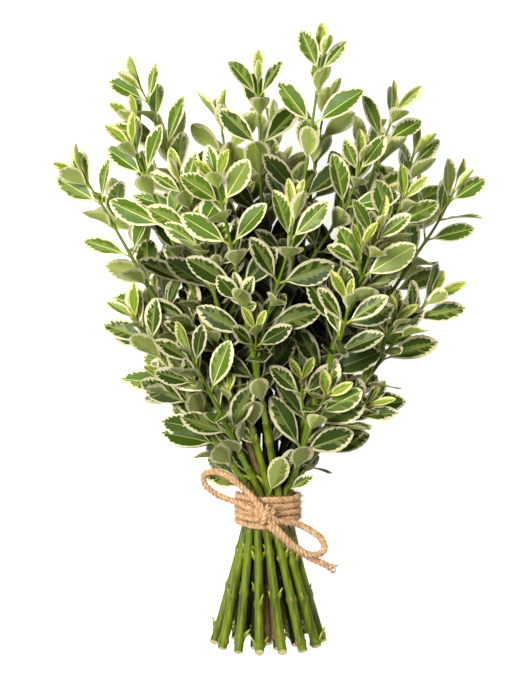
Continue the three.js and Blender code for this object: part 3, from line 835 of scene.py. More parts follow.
    def grow_branch(self, k, branch):
        """A long side twig, which bends from its shoot's course toward its own tip."""
        index = SHOOT_INDEX[branch.shoot]
        path = self.paths[index]
        root, tangent = along_path(path, distance_at_height(path, branch.fork))
        tip = Vector(branch.tip)
        reach = (tip - root).length
        leaving = root + tangent * (BRANCH_LEAVES * reach)
        bends = [root, leaving, tip - Vector((0, BRANCH_ARRIVES * reach, 0)), tip]
        points = [bezier_point(bends, step / BRANCH_STEPS) for step in range(BRANCH_STEPS + 1)]
        name = f"branch {k}"
        self.thicket.take(name, *limb_prism(points, BRANCH_RADIUS, TIP_RADIUS, TWIG_SIDES))
        radii = (BRANCH_RADIUS, TIP_RADIUS)
        places = pair_places(points, radii, BRANCH_BARE * reach, branch.internode, branch.turn)
        self.twigs.append(Twig(points, BRANCH_RADIUS, TIP_RADIUS * FINE_TAPER, places))
        rng = np.random.default_rng(BRANCH_SEED + k)
        for place in places:
            pair = f"{name} pair {place.index}"
            for side in (0, 1):
                self.fill_leaf([name, f"axis {index}", pair], place, side, SHOOTS[index], rng, 1.0)

    def grow_finer(self, index, shoot, kept):
        """Fills the gaps in a shoot's pairs, and grows its tufts and its low leaves."""
        rng = np.random.default_rng(FINER_SEED + index)
        axis = f"axis {index}"
        for place, grown_sides, twig_side in kept:
            pair = f"pair {index} {place.index}"
            chance = self.tuft_chance_at(place)
            for side in (0, 1):
                if side not in grown_sides:
                    self.fill_leaf([axis, pair], place, side, shoot, rng, FILL_VIGOUR)
                free = side != twig_side and place.index >= TUFT_FIRST_NODE
                if free and rng.random() < chance:
                    self.grow_tuft(axis, pair, place, side, index, rng)
        self.grow_low_leaves(index, shoot, rng)

    def tuft_chance_at(self, place):
        if place.point.y > TUFTS_UP_TO:
            return 0
        shaded = reach_at(place.point) < OPEN_REACH
        return self.sizes.tuft_chance * (1 if shaded else OPEN_TUFT_SHARE)

    def grow_low_leaves(self, index, shoot, rng):
        """Single leaves on the bare stretch between the tie and the shoot's first pair."""
        points = self.paths[index]
        end = self.shares[index] + BARE_ABOVE_STEM
        distance = distance_at_height(points, LOW_LEAVES_FROM) + rng.uniform(0, LOW_LEAVES_WANDER)
        k = 0
        while distance < end:
            point, tangent = along_path(points, distance)
            place = Place(point, tangent, SHOOT_RADIUS, k, len(LEAF_GROWTH))
            parents = [f"stem {index}", f"axis {index}", f"low leaf {index} {k}"]
            for side in (0, 1):
                radial = radial_at(point, tangent, math.pi * (k / 2 + side))
                from_axis = Vector((point.x, 0, point.z)).normalized()
                open_side = radial.dot(from_axis) > LOW_LEAF_INWARD and radial.z < LOW_LEAF_FORWARD
                if open_side and rng.random() < LOW_LEAF_CHANCE:
                    self.fill_leaf(parents, place, side, shoot, rng, rng.uniform(*LOW_LEAF_SIZES))
            distance += LOW_INTERNODE
            k += 1

    def fill_leaf(self, parents, place, side, shoot, rng, vigour):
        """Tries a leaf again and again, smaller and more turned aside each time. Its pair is the
        last of the parents that it may touch."""
        for attempt in range(FILL_TRIES):
            wander = rng.uniform(-1, 1) * (FILL_ROLL + FILL_ROLL_STEP * attempt)
            roll = math.pi * (place.turn / 2 + side) + math.radians(wander)
            angle = leaf_angle_at(place) + rng.uniform(*FILL_ANGLES)
            size = vigour * pick(LEAF_GROWTH, place.index) * (1 - FILL_SHRINK * attempt)
            radial = radial_at(place.point, place.tangent, roll)
            leaf = self.sized_leaf(place, radial, math.radians(angle), size)
            corners, faces = leaf_probe(leaf, FINE_CLEARANCE)
            if self.thicket.has_room(corners, faces, parents):
                self.keep_leaf(leaf, parents[-1], place.index, shoot)
                return

    def grow_tuft(self, axis, pair, place, side, index, rng):
        """A short twig in a leaf's axil, with a pair or two of small leaves."""
        roll = math.pi * (place.turn / 2 + side) + rng.uniform(-TUFT_ROLL, TUFT_ROLL)
        length = rng.uniform(*TUFT_LENGTHS) * self.sizes.tuft_length / MM
        points = side_twig_points(place, roll, length)
        corners, faces = limb_prism(points, *TUFT_PROBE_RADII, TWIG_SIDES)
        if not self.thicket.has_room(corners, faces, [axis, pair]):
            return
        name = f"tuft {index} {place.index} {side}"
        self.thicket.take(name, corners, faces)
        places = pair_places(points, TUFT_RADII, TUFT_BARE, TUFT_INTERNODE, int(rng.integers(2)))
        self.twigs.append(Twig(points, *TUFT_RADII, places))
        behind_tip = 1 if reach_at(place.point) > OPEN_REACH else len(LEAF_GROWTH) - 2
        for small in places:
            small = small._replace(index=small.index + behind_tip)
            parents = [name, pair, f"{name} pair {small.index}"]
            for small_side in (0, 1):
                self.fill_leaf(parents, small, small_side, SHOOTS[index], rng, rng.uniform(*TUFT_VIGOUR))


def smooth_path(points, spacing):
    """The points of an easy curve through a path, about evenly spaced."""
    lengths = path_lengths(points)
    tangents = [(points[1] - points[0]).normalized()]
    for i in range(1, len(points) - 1):
        before = lengths[i] - lengths[i - 1]
        after = lengths[i + 1] - lengths[i]
        ahead = (points[i + 1] - points[i]) * (before / after)
        behind = (points[i] - points[i - 1]) * (after / before)
        tangents.append((ahead + behind) / (before + after))
    tangents.append((points[-1] - points[-2]).normalized())
    curve = []
    for i in range(len(points) - 1):
        span = lengths[i + 1] - lengths[i]
        steps = max(1, round(span / spacing))
        for k in range(steps):
            gone, first, last = easy_shares(k / steps)
            point = points[i].lerp(points[i + 1], gone)
            point += tangents[i] * (span * first)
            point += tangents[i + 1] * (span * last)
            curve.append(point)
    curve.append(points[-1].copy())
    return curve


# Colours and settings


def colour(red, green, blue):
    """A colour as a painter's chart gives it, from 0 to 255, in the render's own terms."""
    linear = []
    for value in (red, green, blue):
        share = value / 255
        linear.append(share / 12.92 if share <= 0.04045 else ((share + 0.055) / 1.055) ** 2.4)
    return tuple(linear)


# Painted light and shade on the leaves: lit and shaded copies of every leaf colour, with less shine
# in the painted shade, from the open tips inward; and how open a spray is at least in all but the last of
# them
Tone = namedtuple("Tone", "name brightness shine")
PAINTED_LIGHT_TONES = [
    Tone("sunlit", 1.9, 0.32),
    Tone("light", 1.0, 0.26),
    Tone("middle", 0.6, 0.18),
    Tone("shaded", 0.26, 0.06),
    Tone("inner", 0.07, 0.02),
]
PAINTED_LIGHT_LIMITS = (1.0, 0.86, 0.7, 0.48)
# How open a spray is, which picks its painted light and shade: its reach from the axis with a random wander,
# painted light added toward the top, and a least openness at the outer nodes
SPRAY_HEIGHT = 40
SPRAY_WANDER = 0.34
MOST_REACH = 0.9
OPEN_TOP_FROM = 310
OPEN_TOP_DEPTH = 100
OPEN_TOP_SHARE = 0.9
OUTER_OPENNESS = 0.72
OUTER_WANDER = 0.1

# How bright the paler zones of a leaf become at most, in any tone of painted light
BRIGHTEST = {
    "cream": 0.86, "grey_green": 1.1, "underside_rim": 0.84, "young_rim": 0.84, "underside": 0.96,
    "young_pale": 0.84, "young_green": 0.95, "leaf_stalk": 0.8,
}


def number_property(name, description, default, **limits):
    return bpy.props.FloatProperty(name=name, description=description, default=default, min=0, **limits)


def length_property(name, description, default):
    return number_property(name, description, default, unit="LENGTH", subtype="DISTANCE")


def colour_property(name, description, default):
    return bpy.props.FloatVectorProperty(
        name=name, description=description, default=default, subtype="COLOR", min=0, max=1, size=3,
    )


def tint(name, description, *chart_colour):
    return colour_property(name, description, colour(*chart_colour))


class GrowthSizes(bpy.types.PropertyGroup):
    leaf_length: length_property("Leaf length", "Length of a full-grown leaf from its twig", 0.0475)
    leaf_width: length_property("Leaf width", "Width of a full-grown leaf", 0.0182)
    leaf_thickness: length_property("Leaf thickness", "Thickness of the blade", 0.00035)
    stalk_length: length_property("Leaf stalk", "Length of a full-grown leaf's stalk", 0.0074)
    tuft_length: length_property("Tuft length", "Length of the longest short twig in an axil", 0.028)
    tuft_chance: number_property(
        "Tuft chance", "Share of axils with a short twig", 0.7, max=1, subtype="FACTOR",
    )
    stem_foot: length_property("Stem at the foot", "Radius of a stem at its cut foot", 0.0036)
    stem_top: length_property("Stem at the first leaves", "Radius of a stem where its leaves begin", 0.0027)
    tip: length_property("Shoot tip", "Radius of a shoot at its tip", 0.0008)
    node_spacing: length_property("Node spacing", "Space between the nodes of a bare stem", 0.034)


class LeafColours(bpy.types.PropertyGroup):
    deep_green: tint("Deep green", "Flames of the upper side", 56, 78, 8)
    grey_green: tint("Grey green", "Paler streaks of the upper side", 112, 126, 52)
    cream: tint("Cream rim", "Rim of the upper side", 234, 224, 176)
    midrib: tint("Midrib", "Midrib of the upper side", 150, 160, 78)
    underside: tint("Underside", "Under side of the blade", 152, 164, 84)
    # Partly painted light: shown only on the under side halves dealt as lit from behind
    underside_flame: tint("Underside flame", "Darker patches of the under side", 126, 142, 52)
    underside_rim: tint("Underside rim", "Rim of the under side", 236, 228, 176)
    leaf_stalk: tint("Leaf stalk", "Stalk of the leaf", 164, 184, 52)
    young_green: tint("Young green", "Green of the youngest leaves", 112, 136, 28)
    young_pale: tint("Young pale green", "Paler streaks of the youngest leaves", 148, 164, 58)
    young_rim: tint("Young rim", "Rim of the youngest leaves", 224, 216, 126)


# The colour zones of a leaf
ZONES = list(LeafColours.__annotations__)
ZONE = {name: i for i, name in enumerate(ZONES)}


class StemColours(bpy.types.PropertyGroup):
    bark: tint("Bark", "Green bark of the cut stems", 108, 124, 8)
    bark_shade: tint("Bark streaks", "Darker streaks of the green bark", 62, 76, 4)
    # Painted shade: stems whose cut feet stand inside the bunch take this darker bark in place of the green
    # one
    inner: tint("Inner bark", "Bark of the stems inside the bunch", 28, 34, 4)
    inner_shade: tint("Inner streaks", "Darker streaks of the inner bark", 14, 16, 2)
    shoot: tint("Shoot", "Green of the leafy shoots", 96, 118, 10)
    woody: tint("Old bark", "Brown bark of the oldest stems", 128, 108, 66)
    woody_shade: tint("Old bark streaks", "Darker streaks of the old bark", 78, 60, 34)
    cut: tint("Cut face", "Wood of the cut faces", 226, 214, 158)
    pith: tint("Pith", "Darker wood of the cut faces", 186, 160, 100)
    bud: tint("Bud", "Buds in the axils", 176, 116, 84)
    spur: tint("Spur", "Green buds on the bare stems", 160, 168, 50)
    scar: tint("Leaf scar", "Scars where leaves were stripped", 150, 106, 54)


class TwineLooks(bpy.types.PropertyGroup):
    ply_radius: length_property("Ply radius", "Radius of each of the plies", 0.00136)
    ply_offset: length_property("Ply offset", "Distance of each ply from the middle of the twine", 0.00146)
    lay: length_property("Lay", "Length of one turn of the plies", 0.0115)
    plies: bpy.props.IntProperty(name="Plies", description="Number of plies in the twine", default=3, min=2)
    fibre_length: length_property("Fibre length", "Length of the stray fibres", 0.005)
    fibre: tint("Fibre", "Colour of the twine's fibres", 232, 192, 144)
    fibre_shade: tint("Fibre shade", "Darker fibres of the twine", 158, 112, 66)


class StageLooks(bpy.types.PropertyGroup):
    camera_height: length_property("Camera height", "Height of the camera over the floor", 2.7)
    floor: colour_property("Floor", "Colour of the floor", (0.9, 0.9, 0.9))
    floor_glow: number_property("Floor glow", "Light that the floor gives off itself", 0.8)
    daylight: number_property("Daylight", "Strength of the light from all round", 0.24)
    key_light: number_property("Key light", "Power of the large lamp over the bunch", 60, unit="POWER")
    fill_light: number_property("Fill light", "Power of the lamp on the side of the feet", 9, unit="POWER")


# Node trees, for shapes and for materials

# Where a mix node takes its two colours and gives their mixture
MIXED_COLOURS = (6, 7)
MIXED_RESULT = 2


def wire(tree, target, source):
    """Sets a socket's value, or joins it to the socket that gives it."""
    if isinstance(source, bpy.types.NodeSocket):
        tree.links.new(source, target)
    elif source is not None:
        target.default_value = source


def wire_all(tree, node, inputs):
    for key, source in inputs.items():
        wire(tree, node.inputs[key], source)


def add_node(tree, kind, inputs=None, **settings):
    node = tree.nodes.new(kind)
    for name, value in settings.items():
        setattr(node, name, value)
    wire_all(tree, node, inputs or {})
    return node


def result(tree, kind, inputs=None, **settings):
    """Adds a node and gives what comes out of it first."""
    return add_node(tree, kind, inputs, **settings).outputs[0]


def maths(tree, operation, a, b=None, c=None):
    return result(tree, "ShaderNodeMath", {0: a, 1: b, 2: c}, operation=operation)


def vector_maths(tree, operation, a, b):
    second = "Scale" if operation == "SCALE" else 1
    return result(tree, "ShaderNodeVectorMath", {0: a, second: b}, operation=operation)


def combine(tree, x, y, z):
    return result(tree, "ShaderNodeCombineXYZ", {"X": x, "Y": y, "Z": z})


def z_part(tree, place):
    return add_node(tree, "ShaderNodeSeparateXYZ", {"Vector": place}).outputs["Z"]


def noise(tree, place, scale, **inputs):
    return result(tree, "ShaderNodeTexNoise", {"Vector": place, "Scale": scale, **inputs})


def map_range(tree, value, span, to_low, to_high):
    inputs = dict(enumerate((value, *span, to_low, to_high)))
    return result(tree, "ShaderNodeMapRange", inputs)


def mix_colours(tree, share, *colours):
    inputs = {0: share, **dict(zip(MIXED_COLOURS, colours))}
    return add_node(tree, "ShaderNodeMix", inputs, data_type="RGBA").outputs[MIXED_RESULT]


def new_group(name, kind, inputs, outputs):
    """A node group whose sockets have each a name, and a default number or the name of a kind.
    Returns the tree, its inputs and its output node."""
    tree = bpy.data.node_groups.new(name, kind)
    for in_out, sockets in (("INPUT", inputs), ("OUTPUT", outputs)):
        for socket_name, default in sockets.items():
            has_default = not isinstance(default, str)
            socket_kind = type(default).__name__.capitalize() if has_default else default
            socket = tree.interface.new_socket(
                socket_name, in_out=in_out, socket_type=f"NodeSocket{socket_kind}",
            )
            if has_default:
                socket.default_value = default
    entry = tree.nodes.new("NodeGroupInput").outputs
    return tree, entry, tree.nodes.new("NodeGroupOutput")


def shared_group(name, maker):
    return bpy.data.node_groups.get(name) or maker(name)


# Materials

# Most of a noise's values lie within NOISE_SPAN. The other spans pick out the part of it that shows.
NOISE_SPAN = (0.3, 0.7)
PLAIN_SHINE = 0.5
BARK_SHINE = 0.24
GLOSS_SPREAD = (0.12, 0.16)
STREAK_STRETCH = 0.12
STREAK_SPAN = (0.42, 0.68)
SPECK_SPAN = (0.6, 0.72)
SPECK_STRENGTH = 0.5
SPECK_RELIEF = 0.4
SPECK_ROUGHNESS = 0.15
YARN_SHARE = 0.6
YARN_SPAN = (0.48, 0.78)
YARN_ROUGHNESS = (0.82, 0.98)
LEAF_GLOSS = 0.46
UNDERSIDE_GLOSS = 0.62
SHOOT_GLOSS = 0.42
BUD_GLOSS = 0.55
LEATHER_RELIEF = {"Strength": 0.25, "Distance": 0.0004}
BARK_RELIEF = {"Strength": 0.5, "Distance": 0.0005}
YARN_RELIEF = {"Strength": 0.7, "Distance": 0.0004}

# What covers a stem: two colours, their roughness and the size of their streaks
BarkLook = namedtuple("BarkLook", "name bark streak roughness streak_size")
BARK_LOOKS = {
    "Bark": BarkLook("green_bark", "bark", "bark_shade", 0.42, 260.0),
    "Old Bark": BarkLook("old_bark", "woody", "woody_shade", 0.75, 420.0),
    # Painted shade: the darker bark of the stems inside the bunch, where shade falls between them
    "Inner Bark": BarkLook("inner_bark", "inner", "inner_shade", 0.5, 260.0),
    "Cut Face": BarkLook("cut_wood", "cut", "pith", 0.8, 900.0),
}


def object_place(tree, stretch=1.0):
    """Object coordinates, with a pattern drawn out along the bunch by its stretch."""
    place = add_node(tree, "ShaderNodeTexCoord").outputs["Object"]
    return vector_maths(tree, "MULTIPLY", place, combine(tree, 1.0, stretch, 1.0))


def leather_group(name):
    """The skin of leathery leaves: patches of gloss, and a fine grain."""
    tree, entry, exit_node = new_group(
        name, "ShaderNodeTree",
        {"Gloss": 0.4, "Patch Size": 90.0, "Grain Size": 900.0},
        {"Roughness": "Float", "Height": "Float"},
    )
    place = object_place(tree)
    smoothest = maths(tree, "SUBTRACT", entry["Gloss"], GLOSS_SPREAD[0])
    roughest = maths(tree, "ADD", entry["Gloss"], GLOSS_SPREAD[1])
    patches = noise(tree, place, entry["Patch Size"])
    wire_all(tree, exit_node, {
        "Roughness": map_range(tree, patches, NOISE_SPAN, smoothest, roughest),
        "Height": noise(tree, place, entry["Grain Size"]),
    })
    return tree


def bark_group(name):
    """Bark with long streaks, specks of cork and a fine grain."""
    tree, entry, exit_node = new_group(
        name, "ShaderNodeTree",
        {"Bark": "Color", "Streak": "Color", "Streak Size": 260.0, "Speck Size": 700.0, "Roughness": 0.5},
        {"Color": "Color", "Roughness": "Float", "Height": "Float"},
    )
    streaks = noise(tree, object_place(tree, STREAK_STRETCH), entry["Streak Size"], Detail=4.0)
    specks = noise(tree, object_place(tree), entry["Speck Size"])
    streak_share = map_range(tree, streaks, STREAK_SPAN, 0.0, 1.0)
    speck_share = map_range(tree, specks, SPECK_SPAN, 0.0, SPECK_STRENGTH)
    streaked = mix_colours(tree, streak_share, entry["Bark"], entry["Streak"])
    roughest = maths(tree, "ADD", entry["Roughness"], SPECK_ROUGHNESS)
    speck_height = maths(tree, "MULTIPLY", specks, SPECK_RELIEF)
    wire_all(tree, exit_node, {
        "Color": mix_colours(tree, speck_share, streaked, entry["Streak"]),
        "Roughness": map_range(tree, specks, NOISE_SPAN, entry["Roughness"], roughest),
        "Height": maths(tree, "ADD", streaks, speck_height),
    })
    return tree


def yarn_group(name):
    """Jute: pale and dark fibres side by side, with a rough, dull face."""
    tree, entry, exit_node = new_group(
        name, "ShaderNodeTree",
        {"Fibre": "Color", "Shade": "Color", "Fibre Size": 2600.0, "Patch Size": 240.0},
        {"Color": "Color", "Roughness": "Float", "Height": "Float"},
    )
    place = object_place(tree)
    fibres = noise(tree, place, entry["Fibre Size"], Distortion=1.5)
    patches = noise(tree, place, entry["Patch Size"], Detail=3.0)
    shares = [maths(tree, "MULTIPLY", pattern, YARN_SHARE) for pattern in (fibres, patches)]
    dark = map_range(tree, maths(tree, "ADD", *shares), YARN_SPAN, 0.0, 1.0)
    wire_all(tree, exit_node, {
        "Color": mix_colours(tree, dark, entry["Fibre"], entry["Shade"]),
        "Roughness": map_range(tree, fibres, NOISE_SPAN, *YARN_ROUGHNESS),
        "Height": fibres,
    })
    return tree


def new_material(name):
    material = bpy.data.materials.new(name)
    material.use_nodes = True
    tree = material.node_tree
    return material, tree, tree.nodes["Principled BSDF"]


def grouped_material(name, group_tree, values, shine, relief, base=None):
    """A material with the roughness and relief of a shared group, and with the group's colour or a
    plain one."""
    material, tree, skin = new_material(name)
    group = add_node(tree, "ShaderNodeGroup", values, node_tree=group_tree).outputs
    bump = result(tree, "ShaderNodeBump", {"Height": group["Height"], **relief})
    wire_all(tree, skin, {
        "Base Color": group["Color"] if base is None else (*base, 1),
        "Specular IOR Level": shine,
        "Roughness": group["Roughness"],
        "Normal": bump,
    })
    return material


def leathery_material(name, base, gloss, shine=PLAIN_SHINE):
    group = shared_group("leather_skin", leather_group)
    return grouped_material(name, group, {"Gloss": gloss}, shine, LEATHER_RELIEF, base)


def bark_material(look, colours):
    group = shared_group("streaked_bark", bark_group)
    values = {
        "Bark": (*getattr(colours, look.bark), 1),
        "Streak": (*getattr(colours, look.streak), 1),
        "Streak Size": look.streak_size,
        "Roughness": look.roughness,
    }
    return grouped_material(look.name, group, values, BARK_SHINE, BARK_RELIEF)


def yarn_material(name, looks, fibre_size):
    values = {"Fibre": (*looks.fibre, 1), "Shade": (*looks.fibre_shade, 1), "Fibre Size": fibre_size}
    return grouped_material(name, shared_group("jute_yarn", yarn_group), values, PLAIN_SHINE, YARN_RELIEF)


def leaf_materials(colours):
    """Every zone of the leaf in every tone of painted light and shade, in the order in which the faces name
    them.
    """
    materials = []
    for tone in PAINTED_LIGHT_TONES:
        for zone in ZONES:
            # Painted light and shade: each zone's colour brightened or darkened by the tone, with the tone's
            # shine
            brightness = min(tone.brightness, BRIGHTEST.get(zone, tone.brightness))
            base = [value * brightness for value in getattr(colours, zone)]
            gloss = UNDERSIDE_GLOSS if zone.startswith("underside") else LEAF_GLOSS
            materials.append(leathery_material(f"leaf_{zone}_{tone.name}", base, gloss, tone.shine))
    return materials


# Shapes made by geometry nodes

RIDGES = 4
MOST_SIDE_CORNERS = 4.5
FRAY_OPENING = 1.6
FRAY_THINNING = -0.55
LUMP_SCALE = 330.0
LUMP_SPAN = (0.2, 0.8)
LUMP_SIZES = (0.84, 1.16)
FIBRE_ARC = {"Resolution": 3, "Start": (0.0, 0.0, 0.0), "Middle": (0.1, 0.0, 0.6), "End": (0.65, 0.1, 0.8)}
FIBRE_TILTS = {0: (-0.9, -0.9, -3.1), 1: (0.9, 0.9, 3.1)}
FIBRE_SIZES = {2: 0.3, 3: 1.3}


def geometry_group(name, inputs):
    sockets = {"Geometry": "Geometry", **inputs}
    return new_group(name, "GeometryNodeTree", sockets, {"Geometry": "Geometry"})


def position_of(tree):
    return result(tree, "GeometryNodeInputPosition")


def named_value(tree, name, kind="FLOAT"):
    return result(tree, "GeometryNodeInputNamedAttribute", {"Name": name}, data_type=kind)


def path_curves(tree, entry):
    return result(tree, "GeometryNodeMeshToCurve", {"Mesh": entry["Geometry"]})


def circle(tree, corners, radius):
    return result(tree, "GeometryNodeCurvePrimitiveCircle", {"Resolution": corners, "Radius": radius})


def capture(tree, geometry, kind, name, value):
    """Stores a value on a geometry, and gives both."""
    node = add_node(tree, "GeometryNodeCaptureAttribute")
    node.capture_items.new(kind, name)
    wire_all(tree, node, {"Geometry": geometry, name: value})
    return node.outputs["Geometry"], node.outputs[name]


def tube_along(tree, curves, profile, scale=None):
    return result(tree, "GeometryNodeCurveToMesh", {
        "Curve": curves, "Profile Curve": profile, "Scale": scale, "Fill Caps": True,
    })


def moved_by(tree, geometry, offset):
    return result(tree, "GeometryNodeSetPosition", {"Geometry": geometry, "Offset": offset})


def smoothed(tree, geometry, chosen=None):
    return result(tree, "GeometryNodeSetShadeSmooth", {"Geometry": geometry, "Shade Smooth": chosen})


def finish_tree(tree, exit_node, geometry, materials):
    """Ends a tree: instances made real, then each material where its faces are."""
    last = result(tree, "GeometryNodeRealizeInstances", {"Geometry": geometry})
    for material, selection in materials:
        inputs = {"Geometry": last, "Material": material, "Selection": selection}
        last = result(tree, "GeometryNodeSetMaterial", inputs)
    wire(tree, exit_node.inputs["Geometry"], last)
    return tree


def bark_relief(tree, entry, position, girth, around):
    """Ridges along the stem and a fine grain, outward from its surface."""
    ridges = maths(tree, "COSINE", maths(tree, "MULTIPLY", around, 2 * math.pi * RIDGES))
    ridge_offset = maths(tree, "MULTIPLY", maths(tree, "MULTIPLY", ridges, girth), entry["Ridge Depth"])
    grain = maths(tree, "SUBTRACT", noise(tree, position, entry["Grain Scale"]), 0.5)
    grain_offset = maths(tree, "MULTIPLY", grain, entry["Grain Depth"])
    normal = result(tree, "GeometryNodeInputNormal")
    return vector_maths(tree, "SCALE", normal, maths(tree, "ADD", ridge_offset, grain_offset))


def cut_slant(tree, entry, position, girth, middle):
    """Near the cut foot the front of a stem is drawn up, so that the cut face slants."""
    toward_front = z_part(tree, vector_maths(tree, "SUBTRACT", position, middle))
    slant = maths(tree, "MULTIPLY", maths(tree, "ADD", toward_front, girth), named_value(tree, "cut"))
    return combine(tree, 0.0, maths(tree, "MULTIPLY", slant, entry["Cut Slope"]), 0.0)


def bark_tube_tree(name):
    """Stems and twigs along their paths, swollen at the nodes, ridged and grained."""
    tree, entry, exit_node = geometry_group(name, {
        "Sides": 12, "Swelling": 0.3, "Ridge Depth": 0.05, "Grain Depth": 0.0003,
        "Grain Scale": 400.0, "Cut Slope": 0.7,
        "Bark": "Material", "Old Bark": "Material", "Inner Bark": "Material", "Cut Face": "Material",
    })
    curves, middle = capture(tree, path_curves(tree, entry), "VECTOR", "Middle", position_of(tree))
    turned = add_node(tree, "GeometryNodeSplineParameter").outputs["Factor"]
    profile, around = capture(tree, circle(tree, entry["Sides"], 1.0), "FLOAT", "Around", turned)
    girth = named_value(tree, "girth")
    swollen = maths(tree, "MULTIPLY_ADD", named_value(tree, "swell"), entry["Swelling"], 1.0)
    tube = tube_along(tree, curves, profile, maths(tree, "MULTIPLY", girth, swollen))
    position = position_of(tree)
    relief = bark_relief(tree, entry, position, girth, around)
    slant = cut_slant(tree, entry, position, girth, middle)
    barked = moved_by(tree, tube, vector_maths(tree, "ADD", relief, slant))
    corners = add_node(tree, "GeometryNodeInputMeshFaceNeighbors").outputs["Vertex Count"]
    is_side = maths(tree, "LESS_THAN", corners, MOST_SIDE_CORNERS)
    return finish_tree(tree, exit_node, smoothed(tree, barked, is_side), [
        (entry["Bark"], None),
        # Painted shade: the stems that stand inside the bunch take the darker bark
        (entry["Inner Bark"], maths(tree, "GREATER_THAN", named_value(tree, "inner"), 0.5)),
        (entry["Old Bark"], maths(tree, "GREATER_THAN", named_value(tree, "woody"), 0.5)),
        (entry["Cut Face"], maths(tree, "GREATER_THAN", corners, MOST_SIDE_CORNERS)),
    ])


def laid_offset(tree, entry, ply, fray):
    """How far each ply stands from the middle of the twine, turning about it along its length."""
    length = add_node(tree, "GeometryNodeSplineParameter").outputs["Length"]
    turned = maths(tree, "DIVIDE", length, entry["Lay"])
    phase = maths(tree, "DIVIDE", ply, entry["Plies"])
    angle = maths(tree, "MULTIPLY", maths(tree, "ADD", turned, phase), 2 * math.pi)
    normal = result(tree, "GeometryNodeInputNormal")
    beside = vector_maths(tree, "CROSS_PRODUCT", result(tree, "GeometryNodeInputTangent"), normal)
    outward = vector_maths(
        tree, "ADD",
        vector_maths(tree, "SCALE", normal, maths(tree, "COSINE", angle)),
        vector_maths(tree, "SCALE", beside, maths(tree, "SINE", angle)),
    )
    opened = maths(tree, "MULTIPLY_ADD", fray, FRAY_OPENING, 1.0)
    return vector_maths(tree, "SCALE", outward, maths(tree, "MULTIPLY", entry["Ply Offset"], opened))


def laid_twine_tree(name):
    """Plies turned about each other along a path, and opened where the end is frayed."""
    tree, entry, exit_node = geometry_group(name, {
        "Plies": 3, "Ply Radius": 0.00125, "Ply Offset": 0.0012, "Lay": 0.0105, "Step": 0.0011,
        "Sides": 7, "Twine": "Material",
    })
    even = result(tree, "GeometryNodeResampleCurve", {
        "Curve": path_curves(tree, entry), "Length": entry["Step"],
    }, mode="LENGTH")
    copies = add_node(tree, "GeometryNodeDuplicateElements", {
        "Geometry": even, "Amount": entry["Plies"],
    }, domain="SPLINE").outputs
    offset = laid_offset(tree, entry, copies["Duplicate Index"], named_value(tree, "fray"))
    plies = moved_by(tree, copies["Geometry"], offset)
    lumps = map_range(tree, noise(tree, position_of(tree), LUMP_SCALE), LUMP_SPAN, *LUMP_SIZES)
    thinned = maths(tree, "MULTIPLY_ADD", named_value(tree, "fray"), FRAY_THINNING, 1.0)
    profile = circle(tree, entry["Sides"], entry["Ply Radius"])
    tube = tube_along(tree, plies, profile, maths(tree, "MULTIPLY", lumps, thinned))
    return finish_tree(tree, exit_node, smoothed(tree, tube), [(entry["Twine"], None)])


def stray_fibre_tree(name):
    """Short bent hairs that stand out of a surface, sown with a fixed seed."""
    tree, entry, exit_node = geometry_group(name, {
        "Density": 120000.0, "Length": 0.004, "Thickness": 0.00006, "Seed": 3, "Fibre": "Material",
    })
    sown = add_node(tree, "GeometryNodeDistributePointsOnFaces", {
        "Mesh": entry["Geometry"], "Density": entry["Density"], "Seed": entry["Seed"],
    }).outputs
    arc = result(tree, "GeometryNodeTransform", {
        "Geometry": result(tree, "GeometryNodeCurveQuadraticBezier", FIBRE_ARC),
        "Scale": combine(tree, *[entry["Length"]] * 3),
    })
    hair = tube_along(tree, arc, circle(tree, 3, entry["Thickness"]))
    tilts = {**FIBRE_TILTS, "Seed": entry["Seed"]}
    tilt = result(tree, "FunctionNodeRandomValue", tilts, data_type="FLOAT_VECTOR")
    size = add_node(tree, "FunctionNodeRandomValue", FIBRE_SIZES, data_type="FLOAT").outputs[1]
    turned = result(tree, "FunctionNodeRotateRotation", {
        "Rotation": sown["Rotation"], "Rotate By": tilt,
    }, rotation_space="LOCAL")
    hairs = result(tree, "GeometryNodeInstanceOnPoints", {
        "Points": sown["Points"], "Instance": hair, "Rotation": turned, "Scale": size,
    })
    return finish_tree(tree, exit_node, hairs, [(entry["Fibre"], None)])


def bud_tree(name):
    """A pointed bud on every point, turned and sized as the point says."""
    tree, entry, exit_node = geometry_group(name, {
        "Segments": 6, "Rings": 4, "Pointedness": 0.45, "Bud": "Material",
    })
    ball = result(tree, "GeometryNodeMeshUVSphere", {
        "Segments": entry["Segments"], "Rings": entry["Rings"], "Radius": 1.0,
    })
    position = position_of(tree)
    above = maths(tree, "MAXIMUM", z_part(tree, position), 0.0)
    taper = maths(tree, "SUBTRACT", 1.0, maths(tree, "MULTIPLY", above, entry["Pointedness"]))
    narrowed = vector_maths(tree, "MULTIPLY", position, combine(tree, taper, taper, 1.0))
    shaped = result(tree, "GeometryNodeSetPosition", {"Geometry": ball, "Position": narrowed})
    buds = result(tree, "GeometryNodeInstanceOnPoints", {
        "Points": entry["Geometry"],
        "Instance": shaped,
        "Rotation": named_value(tree, "facing", "FLOAT_VECTOR"),
        "Scale": named_value(tree, "size", "FLOAT_VECTOR"),
    })
    return finish_tree(tree, exit_node, smoothed(tree, buds), [(entry["Bud"], None)])


def put_in_scene(obj):
    bpy.context.scene.collection.objects.link(obj)
    return obj


